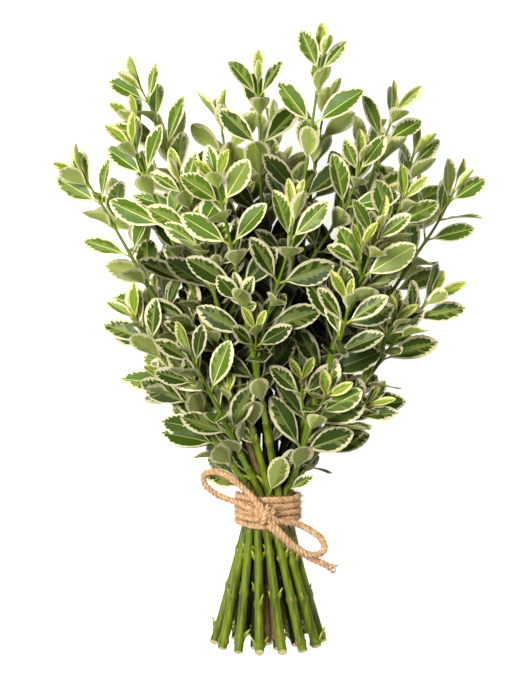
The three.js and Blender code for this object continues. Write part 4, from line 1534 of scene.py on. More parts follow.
def run_tree(obj, tree, values):
    """Runs a geometry tree on an object and leaves the result as its plain mesh."""
    modifier = obj.modifiers.new(tree.name, "NODES")
    modifier.node_group = tree
    for item in tree.interface.items_tree:
        if item.in_out == "INPUT" and item.name in values:
            modifier[item.identifier] = values[item.name]
    depsgraph = bpy.context.evaluated_depsgraph_get()
    mesh = bpy.data.meshes.new_from_object(obj.evaluated_get(depsgraph), depsgraph=depsgraph)
    obj.modifiers.clear()
    old = obj.data
    obj.data = mesh
    mesh.name = obj.name
    bpy.data.meshes.remove(old)
    if not len(mesh.polygons):
        raise RuntimeError(f"{obj.name} came out empty")
    return obj


class Limbs:
    """Paths that become tubes, each with values from point to point."""

    def __init__(self):
        self.paths = []
        self.values = {}

    def add(self, path, **values):
        self.paths.append(path)
        for name, value in values.items():
            self.values.setdefault(name, []).append(np.broadcast_to(value, len(path)))

    def lay(self, name):
        """Lays a mesh of edges along every path, and stores the values at its points."""
        vertices = []
        edges = []
        for path in self.paths:
            first = len(vertices)
            vertices.extend(TO_WORLD @ point for point in path)
            edges.extend((k, k + 1) for k in range(first, len(vertices) - 1))
        mesh = bpy.data.meshes.new(name)
        mesh.from_pydata(vertices, edges, [])
        for value_name, lists in self.values.items():
            attribute = mesh.attributes.new(value_name, "FLOAT", "POINT")
            attribute.data.foreach_set("value", np.concatenate(lists).astype(np.float32))
        return put_in_scene(bpy.data.objects.new(name, mesh))


def ride_root(obj, slot, *nodes):
    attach(obj, "root")
    if nodes:
        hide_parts(*nodes)


# Stems, twigs and buds, in millimetres

STEM_STEP = 2.4
SHOOT_STEP = 3.4
TWIG_STEP = 4
SHOOT_OVERLAP = 1
STEM_NODE_REACH = 2.2
TWIG_NODE_REACH = 1.8
CUT_REACH = 8
LEAST_SLANT = 0.35
SLANT_WANDER = 0.65
# Stems whose cut feet stand nearer the middle than this take the darker bark of painted shade
PAINTED_SHADE_FOOT_RADIUS = 36
WOODY_FEET = [(8, 26), (0, 10), (18, -20)]
FIRST_NODES = (7, 16)
NODE_WANDER = 2
LAST_NODE_GAP = 2
NODE_TURN_WANDER = 0.2
FORKED_NODES = 0.6
SPURRED_FORKS = 0.85
SCAR_WIDTHS = (1.6, 2.7)
SCAR_HEIGHTS = (0.6, 0.9)
SCAR_DEPTH = 1.3
HEART_SIZE = (0.5, 0.4)
HEART_DEPTH = 1.6
BRACKET_SIZE = (2.4, 2.4, 2.9)
BRACKET_RISE = 1.2
BRACKET_LEAN = 0.8
SPUR_LEANS = (0.5, 0.9)
SPUR_LENGTHS = (3.0, 5.4)
SPUR_WIDTHS = (0.9, 1.25)
SPUR_RISE = 1.6
SPUR_OUT = 0.7
AXIL_LEAN = 0.7
AXIL_OUT = 0.25
AXIL_RISE = 1.1
AXIL_SIZE = (0.75, 0.75, 1.15)
TIP_OUT = 0.8
TIP_WIDTH = 1.5
TIP_LENGTH = 2.6

# The pieces of buds: which buds they hold, their colour, their pointedness and their rings
BudPiece = namedtuple("BudPiece", "name kind colour pointedness rings")
BUD_PIECES = [
    BudPiece("axil_buds", "axil", "bud", 0.45, 4),
    BudPiece("tip_buds", "tip", "spur", 0.55, 5),
    BudPiece("stem_spurs", "spur", "spur", 0.5, 5),
    BudPiece("spur_brackets", "bracket", "bark", 0.2, 5),
    BudPiece("leaf_scars", "scar", "scar", 0.0, 4),
    BudPiece("scar_hearts", "scar_heart", "woody_shade", 0.0, 4),
]


def node_swelling(lengths, node_distances, reach):
    """How far each point lies within a swollen node, from 0 to 1."""
    swelling = np.zeros(len(lengths))
    for distance in node_distances:
        swelling = np.maximum(swelling, np.exp(-((lengths - distance) / reach) ** 2))
    return swelling


def woody_stems(paths):
    """The stems whose feet stand nearest to the places of the old brown ones."""
    chosen = set()
    for x, z in WOODY_FEET:
        distances = [math.hypot(path[0].x - x, path[0].z - z) for path in paths]
        chosen.add(int(np.argmin(distances)))
    return chosen


def stem_node_distances(index, share, spacing):
    """Where the nodes of a bare stem sit, measured from its foot."""
    rng = np.random.default_rng(NODE_SEED + index)
    first = rng.uniform(*FIRST_NODES)
    count = int((share - first) / spacing) + 1
    return first + np.arange(count) * spacing + rng.uniform(-NODE_WANDER, NODE_WANDER, count)


def scar_buds(surface, radial, rng):
    """The scar of a stripped leaf, with its darker heart."""
    width = rng.uniform(*SCAR_WIDTHS)
    height = width * rng.uniform(*SCAR_HEIGHTS)
    heart = (width * HEART_SIZE[0], width * HEART_SIZE[1], HEART_DEPTH)
    return [
        Bud(surface, radial, (width, height, SCAR_DEPTH), "scar"),
        Bud(surface, radial, heart, "scar_heart"),
    ]


def spur_buds(surface, radial, tangent, rng):
    """A short green spur, on the bracket of bark that it grows from."""
    bracket_facing = (radial + tangent * BRACKET_LEAN).normalized()
    facing = (radial * rng.uniform(*SPUR_LEANS) + tangent).normalized()
    length = rng.uniform(*SPUR_LENGTHS)
    thick = rng.uniform(*SPUR_WIDTHS)
    middle = surface + tangent * SPUR_RISE + facing * length * SPUR_OUT
    return [
        Bud(surface + tangent * BRACKET_RISE, bracket_facing, BRACKET_SIZE, "bracket"),
        Bud(middle, facing, (thick, thick, length), "spur"),
    ]


def stem_buds(index, path, distances, radii):
    """The scars and spurs at the nodes of a bare stem, two at each, turned from node to node."""
    rng = np.random.default_rng(SCAR_SEED + index)
    buds = []
    for k, (distance, radius) in enumerate(zip(distances, radii)):
        point, tangent = along_path(path, distance)
        forked = rng.random() < FORKED_NODES
        for side in (0, 1):
            wander = rng.uniform(-NODE_TURN_WANDER, NODE_TURN_WANDER)
            radial = radial_at(point, tangent, math.pi * (k / 2 + side) + index + wander)
            surface = point + radial * radius
            buds.extend(scar_buds(surface, radial, rng))
            if forked and rng.random() < SPURRED_FORKS:
                buds.extend(spur_buds(surface, radial, tangent, rng))
    return buds


def twig_buds(place):
    """The buds in the axils of one pair of leaves."""
    buds = []
    for side in (0, 1):
        radial = radial_at(place.point, place.tangent, math.pi * (place.turn / 2 + side))
        facing = (radial * AXIL_LEAN + place.tangent).normalized()
        root = place.point + radial * (place.radius + AXIL_OUT) + place.tangent * AXIL_RISE
        buds.append(Bud(root, facing, AXIL_SIZE, "axil"))
    return buds


def tip_bud(points, radius):
    facing = (points[-1] - points[-2]).normalized()
    width = radius * TIP_WIDTH
    return Bud(points[-1] + facing * TIP_OUT, facing, (width, width, TIP_LENGTH), "tip")


def store_vectors(mesh, name, vectors):
    attribute = mesh.attributes.new(name, "FLOAT_VECTOR", "POINT")
    attribute.data.foreach_set("vector", vectors.ravel())


def bud_object(name, buds):
    """A point for every bud, with its turn and size."""
    lean = TO_WORLD.to_3x3().normalized()
    mesh = bpy.data.meshes.new(name)
    mesh.from_pydata([TO_WORLD @ bud.point for bud in buds], [], [])
    turns = [tuple((lean @ bud.facing).to_track_quat("Z", "Y").to_euler()) for bud in buds]
    store_vectors(mesh, "facing", np.array(turns, np.float32))
    store_vectors(mesh, "size", np.array([bud.size for bud in buds], np.float32) * MM)
    return put_in_scene(bpy.data.objects.new(name, mesh))


# Leaves

# A leaf is built of rings of corners, from the foot of its stalk to its tip. A ring runs over the
# upper side from the left rim to the right one, and then under it from left to right.
BLADE_SHARES = np.linspace(0, 0.97, 17)
STALK_STATIONS = 2
STATIONS = STALK_STATIONS + len(BLADE_SHARES)
UPPER = 8
RING = UPPER + 5
TIP_CORNER = STATIONS * RING
KEEL_CORNER = UPPER + 2
RIM_CORNERS = (0, UPPER - 1)
LOWER_ORDER = (0, 8, 9, 10, 11, 12, 7)
FOOT_FACE = [7, 6, 5, 4, 3, 2, 1, 0, 8, 9, 10, 11, 12]
STALK_FRACTIONS = [-1, -0.75, -0.5, -0.25, 0.25, 0.5, 0.75, 1, -0.7, -0.35, 0, 0.35, 0.7]
STALK_FOOT = 0.4
STALK_MIDDLE = 0.5
PER_LEAF = (slice(None), None, None)

# The part of the leaf that each strip of faces between two rings shows, and its side, left or right
STRIPS = [
    ("rim", 0), ("outer", 0), ("inner", 0), ("midrib", 0), ("inner", 1), ("outer", 1), ("rim", 1),
    ("under_rim", 0), ("under_flame", 0), ("under", 0), ("under", 1), ("under_flame", 1), ("under_rim", 1),
]

# The blade's outline: the powers of its rise and its fall, and its value where it is widest
BLADE_RISE = 0.93
BLADE_FALL = 0.71
BLADE_PEAK = 0.3257
VEIN_SWEEP = 0.92
TEETH = (0.36, -0.3)
TEETH_HALF_WIDTH = 10.75
TEETH_FROM = 0.2
TEETH_FADE = 0.3

# Traits of young leaves and of grown ones
STALK_BY_AGE = (0.5, 1)
WIDTH_BY_AGE = (0.8, 1)
FOLD_BY_AGE = (0.5, 0.3)
DROOP_BY_AGE = (-0.05, 0.06)
RIM_BY_AGE = (0.8, 1)

# The ranges in which the traits are drawn, and the shares of leaves or faces that have them
SIZE_LIMITS = (0.3, 1.1)
STALK_HALF_WIDTH = 0.55
STALK_BROADENING = 0.3
WIDTHS = (0.9, 1.16)
FOLDS = (-0.14, 0.2)
CURLS = (-0.05, 0.16)
DROOPS = (-0.07, 0.09)
WAVES = (0.2, 0.8)
WAVE_PHASES = (0, 6.28)
WAVE_TURNS = 9
WAVE_OFFSET = 1.7
RIMS = (0.6, 1.5)
PALE_SIDES = 0.6
WASHED_LEAVES = 0.06
SPECKED_FACES = 0.28
SPECKED_FROM = 0.35
# The share of under side halves whose darker flame shows: partly the leaf's own pattern, partly painted
# light, as if lit through from behind, dealt at random
BACKLIT_SIDES = 0.45

# Where the colours meet: jagged edges, a rim that broadens toward the tip, a midrib that narrows
SPIKES = (1.0, -0.7)
SPIKE_SIZES = (0.2, 1.4)
STRAY_SPIKES = 0.25
STRAY_SIZES = (-0.8, 0.8)
TIP_PART = 0.25
TIP_POWER = 1.1
RIM_WIDTH = (1.15, 2.6)
RIM_JAG = (0.25, 2.3)
LEAST_RIM = 0.45
RIB_HALF_WIDTH = 0.42
RIB_NARROWING = 0.3
RIB_LIMITS = (0.02, 0.45)
FLAMES = (0.2, 0.62)
FLAME_END = 1.05
FLAME_POWER = 0.7
FLAME_JAG = 0.12
RIB_TO_RIM = 0.14
RIB_TO_FLAME = 0.04
FLAME_TO_RIM = 0.05
OUTERMOST_RIM = 0.95

# How the under side lies below the upper one
UNDER_RIM = 0.97
UNDER_RIM_NARROWING = 0.12
UNDER_FLAME = 0.9
STALK_FADE = 0.25
STALK_DEPTH = 0.75
KEEL_DEPTH = 0.45
RIM_DROP = 0.5
FLOOR_FILM = 0.0008


def blade_profile(share):
    """How wide the blade is along its length, from 0 to 1: wedge-shaped below and blunt above."""
    share = np.clip(share, 0, 1)
    return share ** BLADE_RISE * (1 - share) ** BLADE_FALL / BLADE_PEAK


def leaf_faces():
    """The corner lists of one leaf's faces, with the span and strip that each face belongs to."""
    faces = []
    spots = []
    for span in range(STATIONS):
        here = span * RING
        there = here + RING
        last = span == STATIONS - 1
        for strip in range(UPPER - 1):
            a = here + strip
            ahead = [TIP_CORNER] if last else [there + strip + 1, there + strip]
            faces.append([a, a + 1] + ahead)
            spots.append((span, strip))
        for strip, (left, right) in enumerate(zip(LOWER_ORDER, LOWER_ORDER[1:])):
            ahead = [TIP_CORNER] if last else [there + left, there + right]
            faces.append([here + right, here + left] + ahead)
            spots.append((span, UPPER - 1 + strip))
    faces.append(FOOT_FACE)
    spots.append((0, 0))
    return faces, spots


class LeafPatterns:
    """The random traits of many leaves at once: their rims, flames, folds and curls."""

    def __init__(self, leaves, sizes, seed):
        rng = np.random.default_rng(seed)
        count = len(leaves)
        self.rng = rng
        self.count = count
        self.length = np.array([leaf.length for leaf in leaves])
        self.young = np.array([leaf.node == 0 for leaf in leaves])
        grown = np.clip(self.length / (sizes.leaf_length / MM), *SIZE_LIMITS)
        self.stalk = sizes.stalk_length / MM * grown * self.by_age(STALK_BY_AGE)
        self.stalk_half = STALK_HALF_WIDTH + STALK_BROADENING * grown
        self.half = np.array([leaf.width for leaf in leaves]) / 2
        self.half *= self.by_age(WIDTH_BY_AGE) * rng.uniform(*WIDTHS, count)
        self.thickness = sizes.leaf_thickness / MM
        self.fold = self.by_age(FOLD_BY_AGE) + rng.uniform(*FOLDS, count)
        self.curl = rng.uniform(*CURLS, count)
        self.droop = self.by_age(DROOP_BY_AGE) + rng.uniform(*DROOPS, count)
        self.wave = rng.uniform(*WAVES, count)
        self.wave_phase = rng.uniform(*WAVE_PHASES, count)
        self.rim = rng.uniform(*RIMS, (count, 2))
        self.pale_side = rng.random((count, 2)) < PALE_SIDES
        self.washed = rng.random(count) < WASHED_LEAVES

    def by_age(self, young_and_grown):
        return np.where(self.young, *young_and_grown)

    def half_width(self, share):
        """Half width of blade and stalk at a share of the blade, for arrays led by the leaf."""
        blade = self.half[PER_LEAF] * blade_profile(share)
        return np.maximum(blade, self.stalk_half[PER_LEAF] * np.clip(1 - share, 0, 1))

    def jags(self, shape):
        """How far the edges of the colours spike out, by turns in and out along the blade."""
        rng = self.rng
        spikes = np.where(np.arange(shape[1]) % 2, *SPIKES)[None, :, None]
        stray = rng.random(shape) < STRAY_SPIKES
        stray_sizes = rng.uniform(*STRAY_SIZES, shape)
        return np.where(stray, stray_sizes, spikes * rng.uniform(*SPIKE_SIZES, shape))

    def boundaries(self):
        """Where midrib, inner flame and rim end, as shares of the half width, for both sides."""
        share = np.broadcast_to(BLADE_SHARES[None, :, None], (self.count, len(BLADE_SHARES), 2))
        half = self.half_width(share)
        jag = self.jags(share.shape)
        toward_tip = np.clip((share - TIP_PART) / (1 - TIP_PART), 0, 1) ** TIP_POWER
        rim = (RIM_WIDTH[0] + RIM_WIDTH[1] * toward_tip) * self.rim[:, None, :]
        rim = rim + jag * (RIM_JAG[0] + RIM_JAG[1] * toward_tip)
        rim = np.maximum(rim, LEAST_RIM) * self.by_age(RIM_BY_AGE)[PER_LEAF]
        rib = np.clip((RIB_HALF_WIDTH - RIB_NARROWING * share) / half, *RIB_LIMITS)
        taper = np.clip(FLAME_END - share, 0, 1) ** FLAME_POWER
        flame = self.rng.uniform(*FLAMES, (self.count, 1, 2)) * taper + FLAME_JAG * jag
        rim_start = np.clip(1 - rim / half, rib + RIB_TO_RIM, OUTERMOST_RIM)
        flame = np.clip(flame, rib + RIB_TO_FLAME, rim_start - FLAME_TO_RIM)
        return rib, flame, rim_start

    def fractions(self):
        """The places of the corners across each ring, in the order of the ring."""
        (rib_left, rib_right), (flame_left, flame_right), (rim_left, rim_right) = (
            (values[..., 0], values[..., 1]) for values in self.boundaries()
        )
        edge = np.ones_like(rib_left)
        inward = UNDER_RIM - UNDER_RIM_NARROWING * BLADE_SHARES
        rows = np.empty((self.count, STATIONS, RING))
        rows[:, :STALK_STATIONS] = STALK_FRACTIONS
        rows[:, STALK_STATIONS:] = np.stack([
            -edge, -rim_left, -flame_left, -rib_left, rib_right, flame_right, rim_right, edge,
            -inward * rim_left, -UNDER_FLAME * flame_left, 0 * edge,
            UNDER_FLAME * flame_right, inward * rim_right,
        ], -1)
        return rows

    def flat_places(self, fractions):
        """Across and along places of every corner: veins sweep forward, and the rim is toothed."""
        station_share = np.concatenate([np.zeros(STALK_STATIONS), BLADE_SHARES])
        ahead = VEIN_SWEEP * station_share * (1 - station_share)
        share = station_share[None, :, None] + np.abs(fractions) * ahead[None, :, None]
        across = fractions * self.half_width(share)
        tooth = np.where(np.arange(STATIONS) % 2, *TEETH)
        tooth = tooth * np.clip((station_share - TEETH_FROM) / TEETH_FADE, 0, 1)
        size = self.half / TEETH_HALF_WIDTH
        for corner, sign in zip(RIM_CORNERS, (-1, 1)):
            across[:, :, corner] += sign * tooth[None, :] * size[:, None]
        along = self.stalk[PER_LEAF] + share * (self.length - self.stalk)[PER_LEAF]
        along[:, 0] = STALK_FOOT
        along[:, 1] = STALK_MIDDLE * self.stalk[:, None]
        return across, along, share

    def heights(self, across, along, fractions, share):
        """How the blade folds at its midrib, curls, waves and bends along its length."""
        length_share = along / self.length[PER_LEAF]
        fold = self.fold[PER_LEAF] * np.abs(across)
        curl = self.curl[PER_LEAF] * across ** 2 / self.half[PER_LEAF]
        turned = WAVE_TURNS * share + self.wave_phase[PER_LEAF] + WAVE_OFFSET * (across > 0)
        wave = self.wave[PER_LEAF] * np.sin(turned)
        bend = self.droop[PER_LEAF] * self.length[PER_LEAF] * length_share ** 2
        return fold - curl - bend + wave * fractions ** 2 * np.sin(math.pi * share)

    def corners(self, leaves):
        """Every corner of every leaf, along the bunch's own axes."""
        fractions = self.fractions()
        across, along, share = self.flat_places(fractions)
        height = self.heights(across, along, fractions, share)
        stalk_share = np.clip(1 - share / STALK_FADE, 0, 1)
        below = self.thickness + STALK_DEPTH * stalk_share * self.stalk_half[PER_LEAF]
        below[:, :, KEEL_CORNER] += KEEL_DEPTH * (1 - share[:, :, KEEL_CORNER])
        height[:, :, UPPER:] -= below[:, :, UPPER:]
        for corner in RIM_CORNERS:
            height[:, :, corner] -= RIM_DROP * below[:, :, corner]
        flat = np.stack([across, along, height], -1).reshape(self.count, TIP_CORNER, 3)
        tip = np.stack([np.zeros(self.count), self.length, -self.droop * self.length], -1)
        flat = np.concatenate([flat, tip[:, None, :]], 1)
        axes = np.array([[leaf.direction.cross(leaf.normal), leaf.direction, leaf.normal] for leaf in leaves])
        roots = np.array([leaf.root for leaf in leaves])
        return roots[:, None, :] + np.einsum("lvk,lkc->lvc", flat, axes)

    def zones(self, spots):
        """The colour zone of every face of every leaf."""
        past_foot = np.arange(STATIONS)[None, :, None] > STATIONS * SPECKED_FROM
        specks = self.rng.random((self.count, STATIONS, 2)) < SPECKED_FACES
        washed = self.washed[PER_LEAF]
        grey = self.pale_side[:, None, :] | washed
        outer_grey = specks & past_foot & grey | washed
        backlit = self.rng.random((self.count, 2)) < BACKLIT_SIDES
        zones = np.empty((self.count, len(spots)), int)
        for face, (span, strip) in enumerate(spots):
            part, side = STRIPS[strip]
            if span < STALK_STATIONS:
                part = "stalk"
            traits = (grey[:, 0, side], outer_grey[:, span, side], backlit[:, side])
            zones[:, face] = self.zones_of(part, *traits)
        return zones

    def zones_of(self, part, grey, outer_grey, backlit):
        """The zone that one part of each leaf falls in."""
        if part == "stalk":
            return ZONE["leaf_stalk"]
        if part == "under_rim":
            return ZONE["underside_rim"]
        if part == "rim":
            return self.by_age((ZONE["young_rim"], ZONE["cream"]))
        if part == "midrib":
            return self.by_age((ZONE["young_pale"], ZONE["midrib"]))
        if part in ("outer", "inner"):
            deep = self.by_age((ZONE["young_green"], ZONE["deep_green"]))
            pale = self.by_age((ZONE["young_pale"], ZONE["grey_green"]))
            return np.where(outer_grey if part == "outer" else grey, pale, deep)
        under = self.by_age((ZONE["young_pale"], ZONE["underside"]))
        # Partly the leaf's own pattern, partly painted light: the darker flame shows only on halves dealt as
        # lit from behind
        has_flame = (part == "under_flame") & ~outer_grey & backlit
        return np.where(has_flame, ZONE["underside_flame"], under)


def lift_off_floor(places):
    """Bends what would dip into the floor flat onto it. Places are in metres."""
    low = places[:, 2] < FLOOR_FILM
    places[low, 2] = FLOOR_FILM * np.exp((places[low, 2] - FLOOR_FILM) / FLOOR_FILM)
    return places


def mesh_of_leaves(name, places, count):
    """One mesh with the same faces for every leaf, from the places of all their corners."""
    faces = leaf_faces()[0]
    one_leaf = np.concatenate(faces)
    starts = np.concatenate([[0], np.cumsum([len(face) for face in faces])[:-1]])
    steps = np.arange(count)[:, None]
    loops = (one_leaf + steps * (TIP_CORNER + 1)).ravel()
    loop_starts = (starts + steps * len(one_leaf)).ravel()
    mesh = bpy.data.meshes.new(name)
    mesh.vertices.add(len(places))
    mesh.vertices.foreach_set("co", places.astype(np.float32).ravel())
    mesh.loops.add(len(loops))
    mesh.loops.foreach_set("vertex_index", loops.astype(np.int32))
    mesh.polygons.add(len(loop_starts))
    mesh.polygons.foreach_set("loop_start", loop_starts.astype(np.int32))
    return mesh


def mark_rims(mesh):
    """Keeps the shading of the upper and the under side apart along the rim."""
    ends = np.empty(len(mesh.edges) * 2, np.int32)
    mesh.edges.foreach_get("vertices", ends)
    local = ends.reshape(-1, 2) % (TIP_CORNER + 1)
    on_rim = (local == TIP_CORNER) | np.isin(local % RING, RIM_CORNERS) & (local < TIP_CORNER)
    sharp = mesh.attributes.new("sharp_edge", "BOOLEAN", "EDGE")
    sharp.data.foreach_set("value", on_rim.all(1))


def leaf_mesh(name, leaves, sizes, materials, seed):
    """One closed mesh of many leaves, with each face in its zone's colour and its spray's tone of painted
    light and shade.
    """
    patterns = LeafPatterns(leaves, sizes, seed)
    corners = patterns.corners(leaves).reshape(-1, 3)
    places = corners @ np.array(TO_WORLD.to_3x3()).T + np.array(TO_WORLD.translation)
    mesh = mesh_of_leaves(name, lift_off_floor(places), len(leaves))
    for material in materials:
        mesh.materials.append(material)
    painted_light_rows = np.array([leaf.tone for leaf in leaves])[:, None]
    indices = patterns.zones(leaf_faces()[1]) + painted_light_rows * len(ZONES)
    mesh.polygons.foreach_set("material_index", indices.astype(np.int32).ravel())
    mesh.update(calc_edges=True)
    mesh.shade_smooth()
    mark_rims(mesh)
    return mesh


def deal_tones(leaves):
    """Gives the leaves of each spray one tone of painted light and shade by a fixed draw: painted light at
    the open tips and the top, painted shade deeper inside.
    """
    for leaf in leaves:
        spray = round(leaf.root.y / SPRAY_HEIGHT)
        draw = seeded_random(SHOOT_INDEX[leaf.shoot.name], spray, PAINTED_LIGHT_STREAM)
        middle = leaf.root + leaf.direction * leaf.length / 2
        openness = min(reach_at(middle), MOST_REACH) + SPRAY_WANDER * (draw() - 0.5)
        # Painted light: sprays toward the top count as more open, and so take the lighter copies
        openness += OPEN_TOP_SHARE * min(max(middle.y - OPEN_TOP_FROM, 0) / OPEN_TOP_DEPTH, 1)
        if leaf.node < OUTER_NODES:
            openness = max(openness, OUTER_OPENNESS + OUTER_WANDER * draw())
        leaf.tone = sum(openness < limit for limit in PAINTED_LIGHT_LIMITS)


# The operators, one for each piece or group of like pieces

grown = {}


def grown_bunch(context):
    """The bunch is grown once, and every operator builds its own pieces from it."""
    if "bunch" not in grown:
        bunch = Bunch(context.scene.growth_sizes)
        bunch.grow()
        deal_tones(bunch.leaves)
        grown["bunch"] = bunch
    return grown["bunch"]


class BUNCH_OT_grow_stems(bpy.types.Operator):
    """Grow the bare stems from their cut feet up through the tie"""

    bl_idname = "bunch.grow_stems"
    bl_label = "Grow stems"

    def execute(self, context):
        bunch = grown_bunch(context)
        colours = context.scene.stem_colours
        stems = self.shape(bunch, context.scene.growth_sizes).lay("stems")
        run_tree(stems, shared_group("bark_tube", bark_tube_tree), {
            "Sides": 14,
            "Swelling": 0.32,
            "Ridge Depth": 0.05,
            "Grain Depth": 0.0005,
            "Grain Scale": 420.0,
            **{socket: bark_material(look, colours) for socket, look in BARK_LOOKS.items()},
        })
        ride_root(stems, "green_bark", *[f"stem_{shoot.name}" for shoot in SHOOTS])
        return {"FINISHED"}

    def shape(self, bunch, sizes):
        woody = woody_stems(bunch.paths)
        limbs = Limbs()
        for i, (points, share) in enumerate(zip(bunch.paths, bunch.shares)):
            path = smooth_path(path_piece(points, 0, share), STEM_STEP)
            lengths = np.array(path_lengths(path))
            girth = sizes.stem_foot + (sizes.stem_top - sizes.stem_foot) * lengths / lengths[-1]
            nodes = stem_node_distances(i, share, sizes.node_spacing / MM)
            slant = LEAST_SLANT + SLANT_WANDER * seeded_random(i, CUT_STREAM)()
            limbs.add(
                path,
                girth=girth,
                swell=node_swelling(lengths, nodes, STEM_NODE_REACH),
                woody=float(i in woody),
                # Painted shade: marks the stems whose feet stand inside the bunch
                inner=float(math.hypot(path[0].x, path[0].z) < PAINTED_SHADE_FOOT_RADIUS),
                cut=np.clip(1 - lengths / CUT_REACH, 0, 1) * slant,
            )
            bare = nodes[nodes <= share - LAST_NODE_GAP]
            radii = np.interp(bare, lengths, girth) / MM
            bunch.buds.extend(stem_buds(i, path, bare, radii))
        return limbs


class BUNCH_OT_grow_twigs(bpy.types.Operator):
    """Grow the leafy shoots and their side twigs on from the stems"""

    bl_idname = "bunch.grow_twigs"
    bl_label = "Grow twigs"

    def execute(self, context):
        twigs = self.shape(grown_bunch(context), context.scene.growth_sizes).lay("twigs")
        skin = leathery_material("shoot_green", context.scene.stem_colours.shoot, SHOOT_GLOSS)
        run_tree(twigs, shared_group("bark_tube", bark_tube_tree), {
            "Sides": 6,
            "Swelling": 0.3,
            "Ridge Depth": 0.0,
            "Grain Depth": 0.0001,
            "Grain Scale": 420.0,
            **dict.fromkeys(BARK_LOOKS, skin),
        })
        ride_root(twigs, "green_bark")
        return {"FINISHED"}

    def shape(self, bunch, sizes):
        limbs = Limbs()
        for shoot, points, share in zip(SHOOTS, bunch.paths, bunch.shares):
            end = path_lengths(points)[-1]
            path = smooth_path(path_piece(points, share - SHOOT_OVERLAP, end), SHOOT_STEP)
            leafy_from = share + BARE_ABOVE_STEM
            places = pair_places(points, (SHOOT_RADIUS, TIP_RADIUS), leafy_from, shoot.internode, shoot.turn)
            self.add_limb(bunch, limbs, Twig(path, sizes.stem_top / MM, sizes.tip / MM, places))
        for twig in bunch.twigs:
            path = smooth_path(twig.points, TWIG_STEP)
            self.add_limb(bunch, limbs, twig._replace(points=path))
        return limbs

    def add_limb(self, bunch, limbs, twig):
        path, start_radius, end_radius, places = twig
        lengths = np.array(path_lengths(path))
        share = lengths / lengths[-1]
        nearest = [min(range(len(path)), key=lambda k: (path[k] - place.point).length) for place in places]
        limbs.add(
            path,
            girth=(start_radius + (end_radius - start_radius) * share) * MM,
            swell=node_swelling(lengths, lengths[nearest], TWIG_NODE_REACH),
            woody=0.0,
        )
        for place in places:
            bunch.buds.extend(twig_buds(place))
        bunch.buds.append(tip_bud(path, end_radius))


class BUNCH_OT_grow_leaves(bpy.types.Operator):
    """Grow the variegated leaves, joined by the side of the bunch that they are on"""

    bl_idname = "bunch.grow_leaves"
    bl_label = "Grow leaves"

    def execute(self, context):
        bunch = grown_bunch(context)
        sizes = context.scene.growth_sizes
        materials = leaf_materials(context.scene.leaf_colours)
        for seed, side in enumerate(SIDES_OF_BUNCH, LEAF_SEED):
            name = f"leaves_{side}"
            leaves = [leaf for leaf in bunch.leaves if leaf.shoot.side == side]
            mesh = leaf_mesh(name, leaves, sizes, materials, seed)
            obj = put_in_scene(bpy.data.objects.new(name, mesh))
            nodes = [f"leaves_{shoot.name}" for shoot in SHOOTS if shoot.side == side]
            ride_root(obj, "variegated_leaf", *nodes)
        return {"FINISHED"}


class BUNCH_OT_set_buds(bpy.types.Operator):
    """Set the buds in the axils, and the scars and spurs on the bare stems"""

    bl_idname = "bunch.set_buds"
    bl_label = "Set buds and scars"

    def execute(self, context):
        bunch = grown_bunch(context)
        tree = shared_group("pointed_buds", bud_tree)
        for piece in BUD_PIECES:
            base = getattr(context.scene.stem_colours, piece.colour)
            obj = bud_object(piece.name, [bud for bud in bunch.buds if bud.kind == piece.kind])
            run_tree(obj, tree, {
                "Segments": 7,
                "Rings": piece.rings,
                "Pointedness": piece.pointedness,
                "Bud": leathery_material(f"{piece.name}_skin", base, BUD_GLOSS),
            })
            ride_root(obj, "green_bark")
        return {"FINISHED"}


# The knot: a band turned tightly round two strands that cross it

BAND_ALONG = Vector((0.87, -0.5, 0)).normalized()
BAND_UP = Vector((0.5, 0.87, 0)).normalized()
BAND_OUT = Vector((0, 0, 1))
BAND_TURNS = 1.8
BAND_PITCH = 4.4
BAND_START = 2.2
BAND_STEPS = 34
BAND_HALF_HEIGHT = 6.6
BAND_HALF_DEPTH = 3.0
BAND_FORWARD = 0.2
UPPER_STRAND = [(-9, 119, 32.5), (-4, 115.5, 34), (2, 111.5, 34), (8, 107, 32)]
LOWER_STRAND = [(-10, 114.5, 31.4), (-5, 111.8, 31.6), (0, 108.8, 32.4), (5, 105, 32.4)]

# How the twine is laid and its hairs are sown
TWINE_STEP = 2.0
WRAP_STEPS = 24
WRAP_WANDER = 0.25
FRAY_LENGTH = 9
TWINE_FIBRE_SIZE = 2600.0
HAIR_FIBRE_SIZE = 900.0


def knot_band():
    band = []
    for i in range(BAND_STEPS + 1):
        t = i / BAND_STEPS
        turned = 2 * math.pi * BAND_TURNS * t + BAND_START
        centre = KNOT + BAND_ALONG * (BAND_PITCH * BAND_TURNS * (t - 0.5))
        up = BAND_UP * (BAND_HALF_HEIGHT * math.cos(turned))
        out = BAND_OUT * (BAND_HALF_DEPTH * math.sin(turned) + BAND_FORWARD)
        band.append(centre + up + out)
    return band


def fray_along(line, path):
    """How far the twine is frayed at each point of a path, from 0 to 1 at the end of the tail."""
    lengths = np.array(path_lengths(path))
    return np.clip((lengths - lengths[-1] + FRAY_LENGTH) / FRAY_LENGTH, 0, 1) * (line is TAIL)


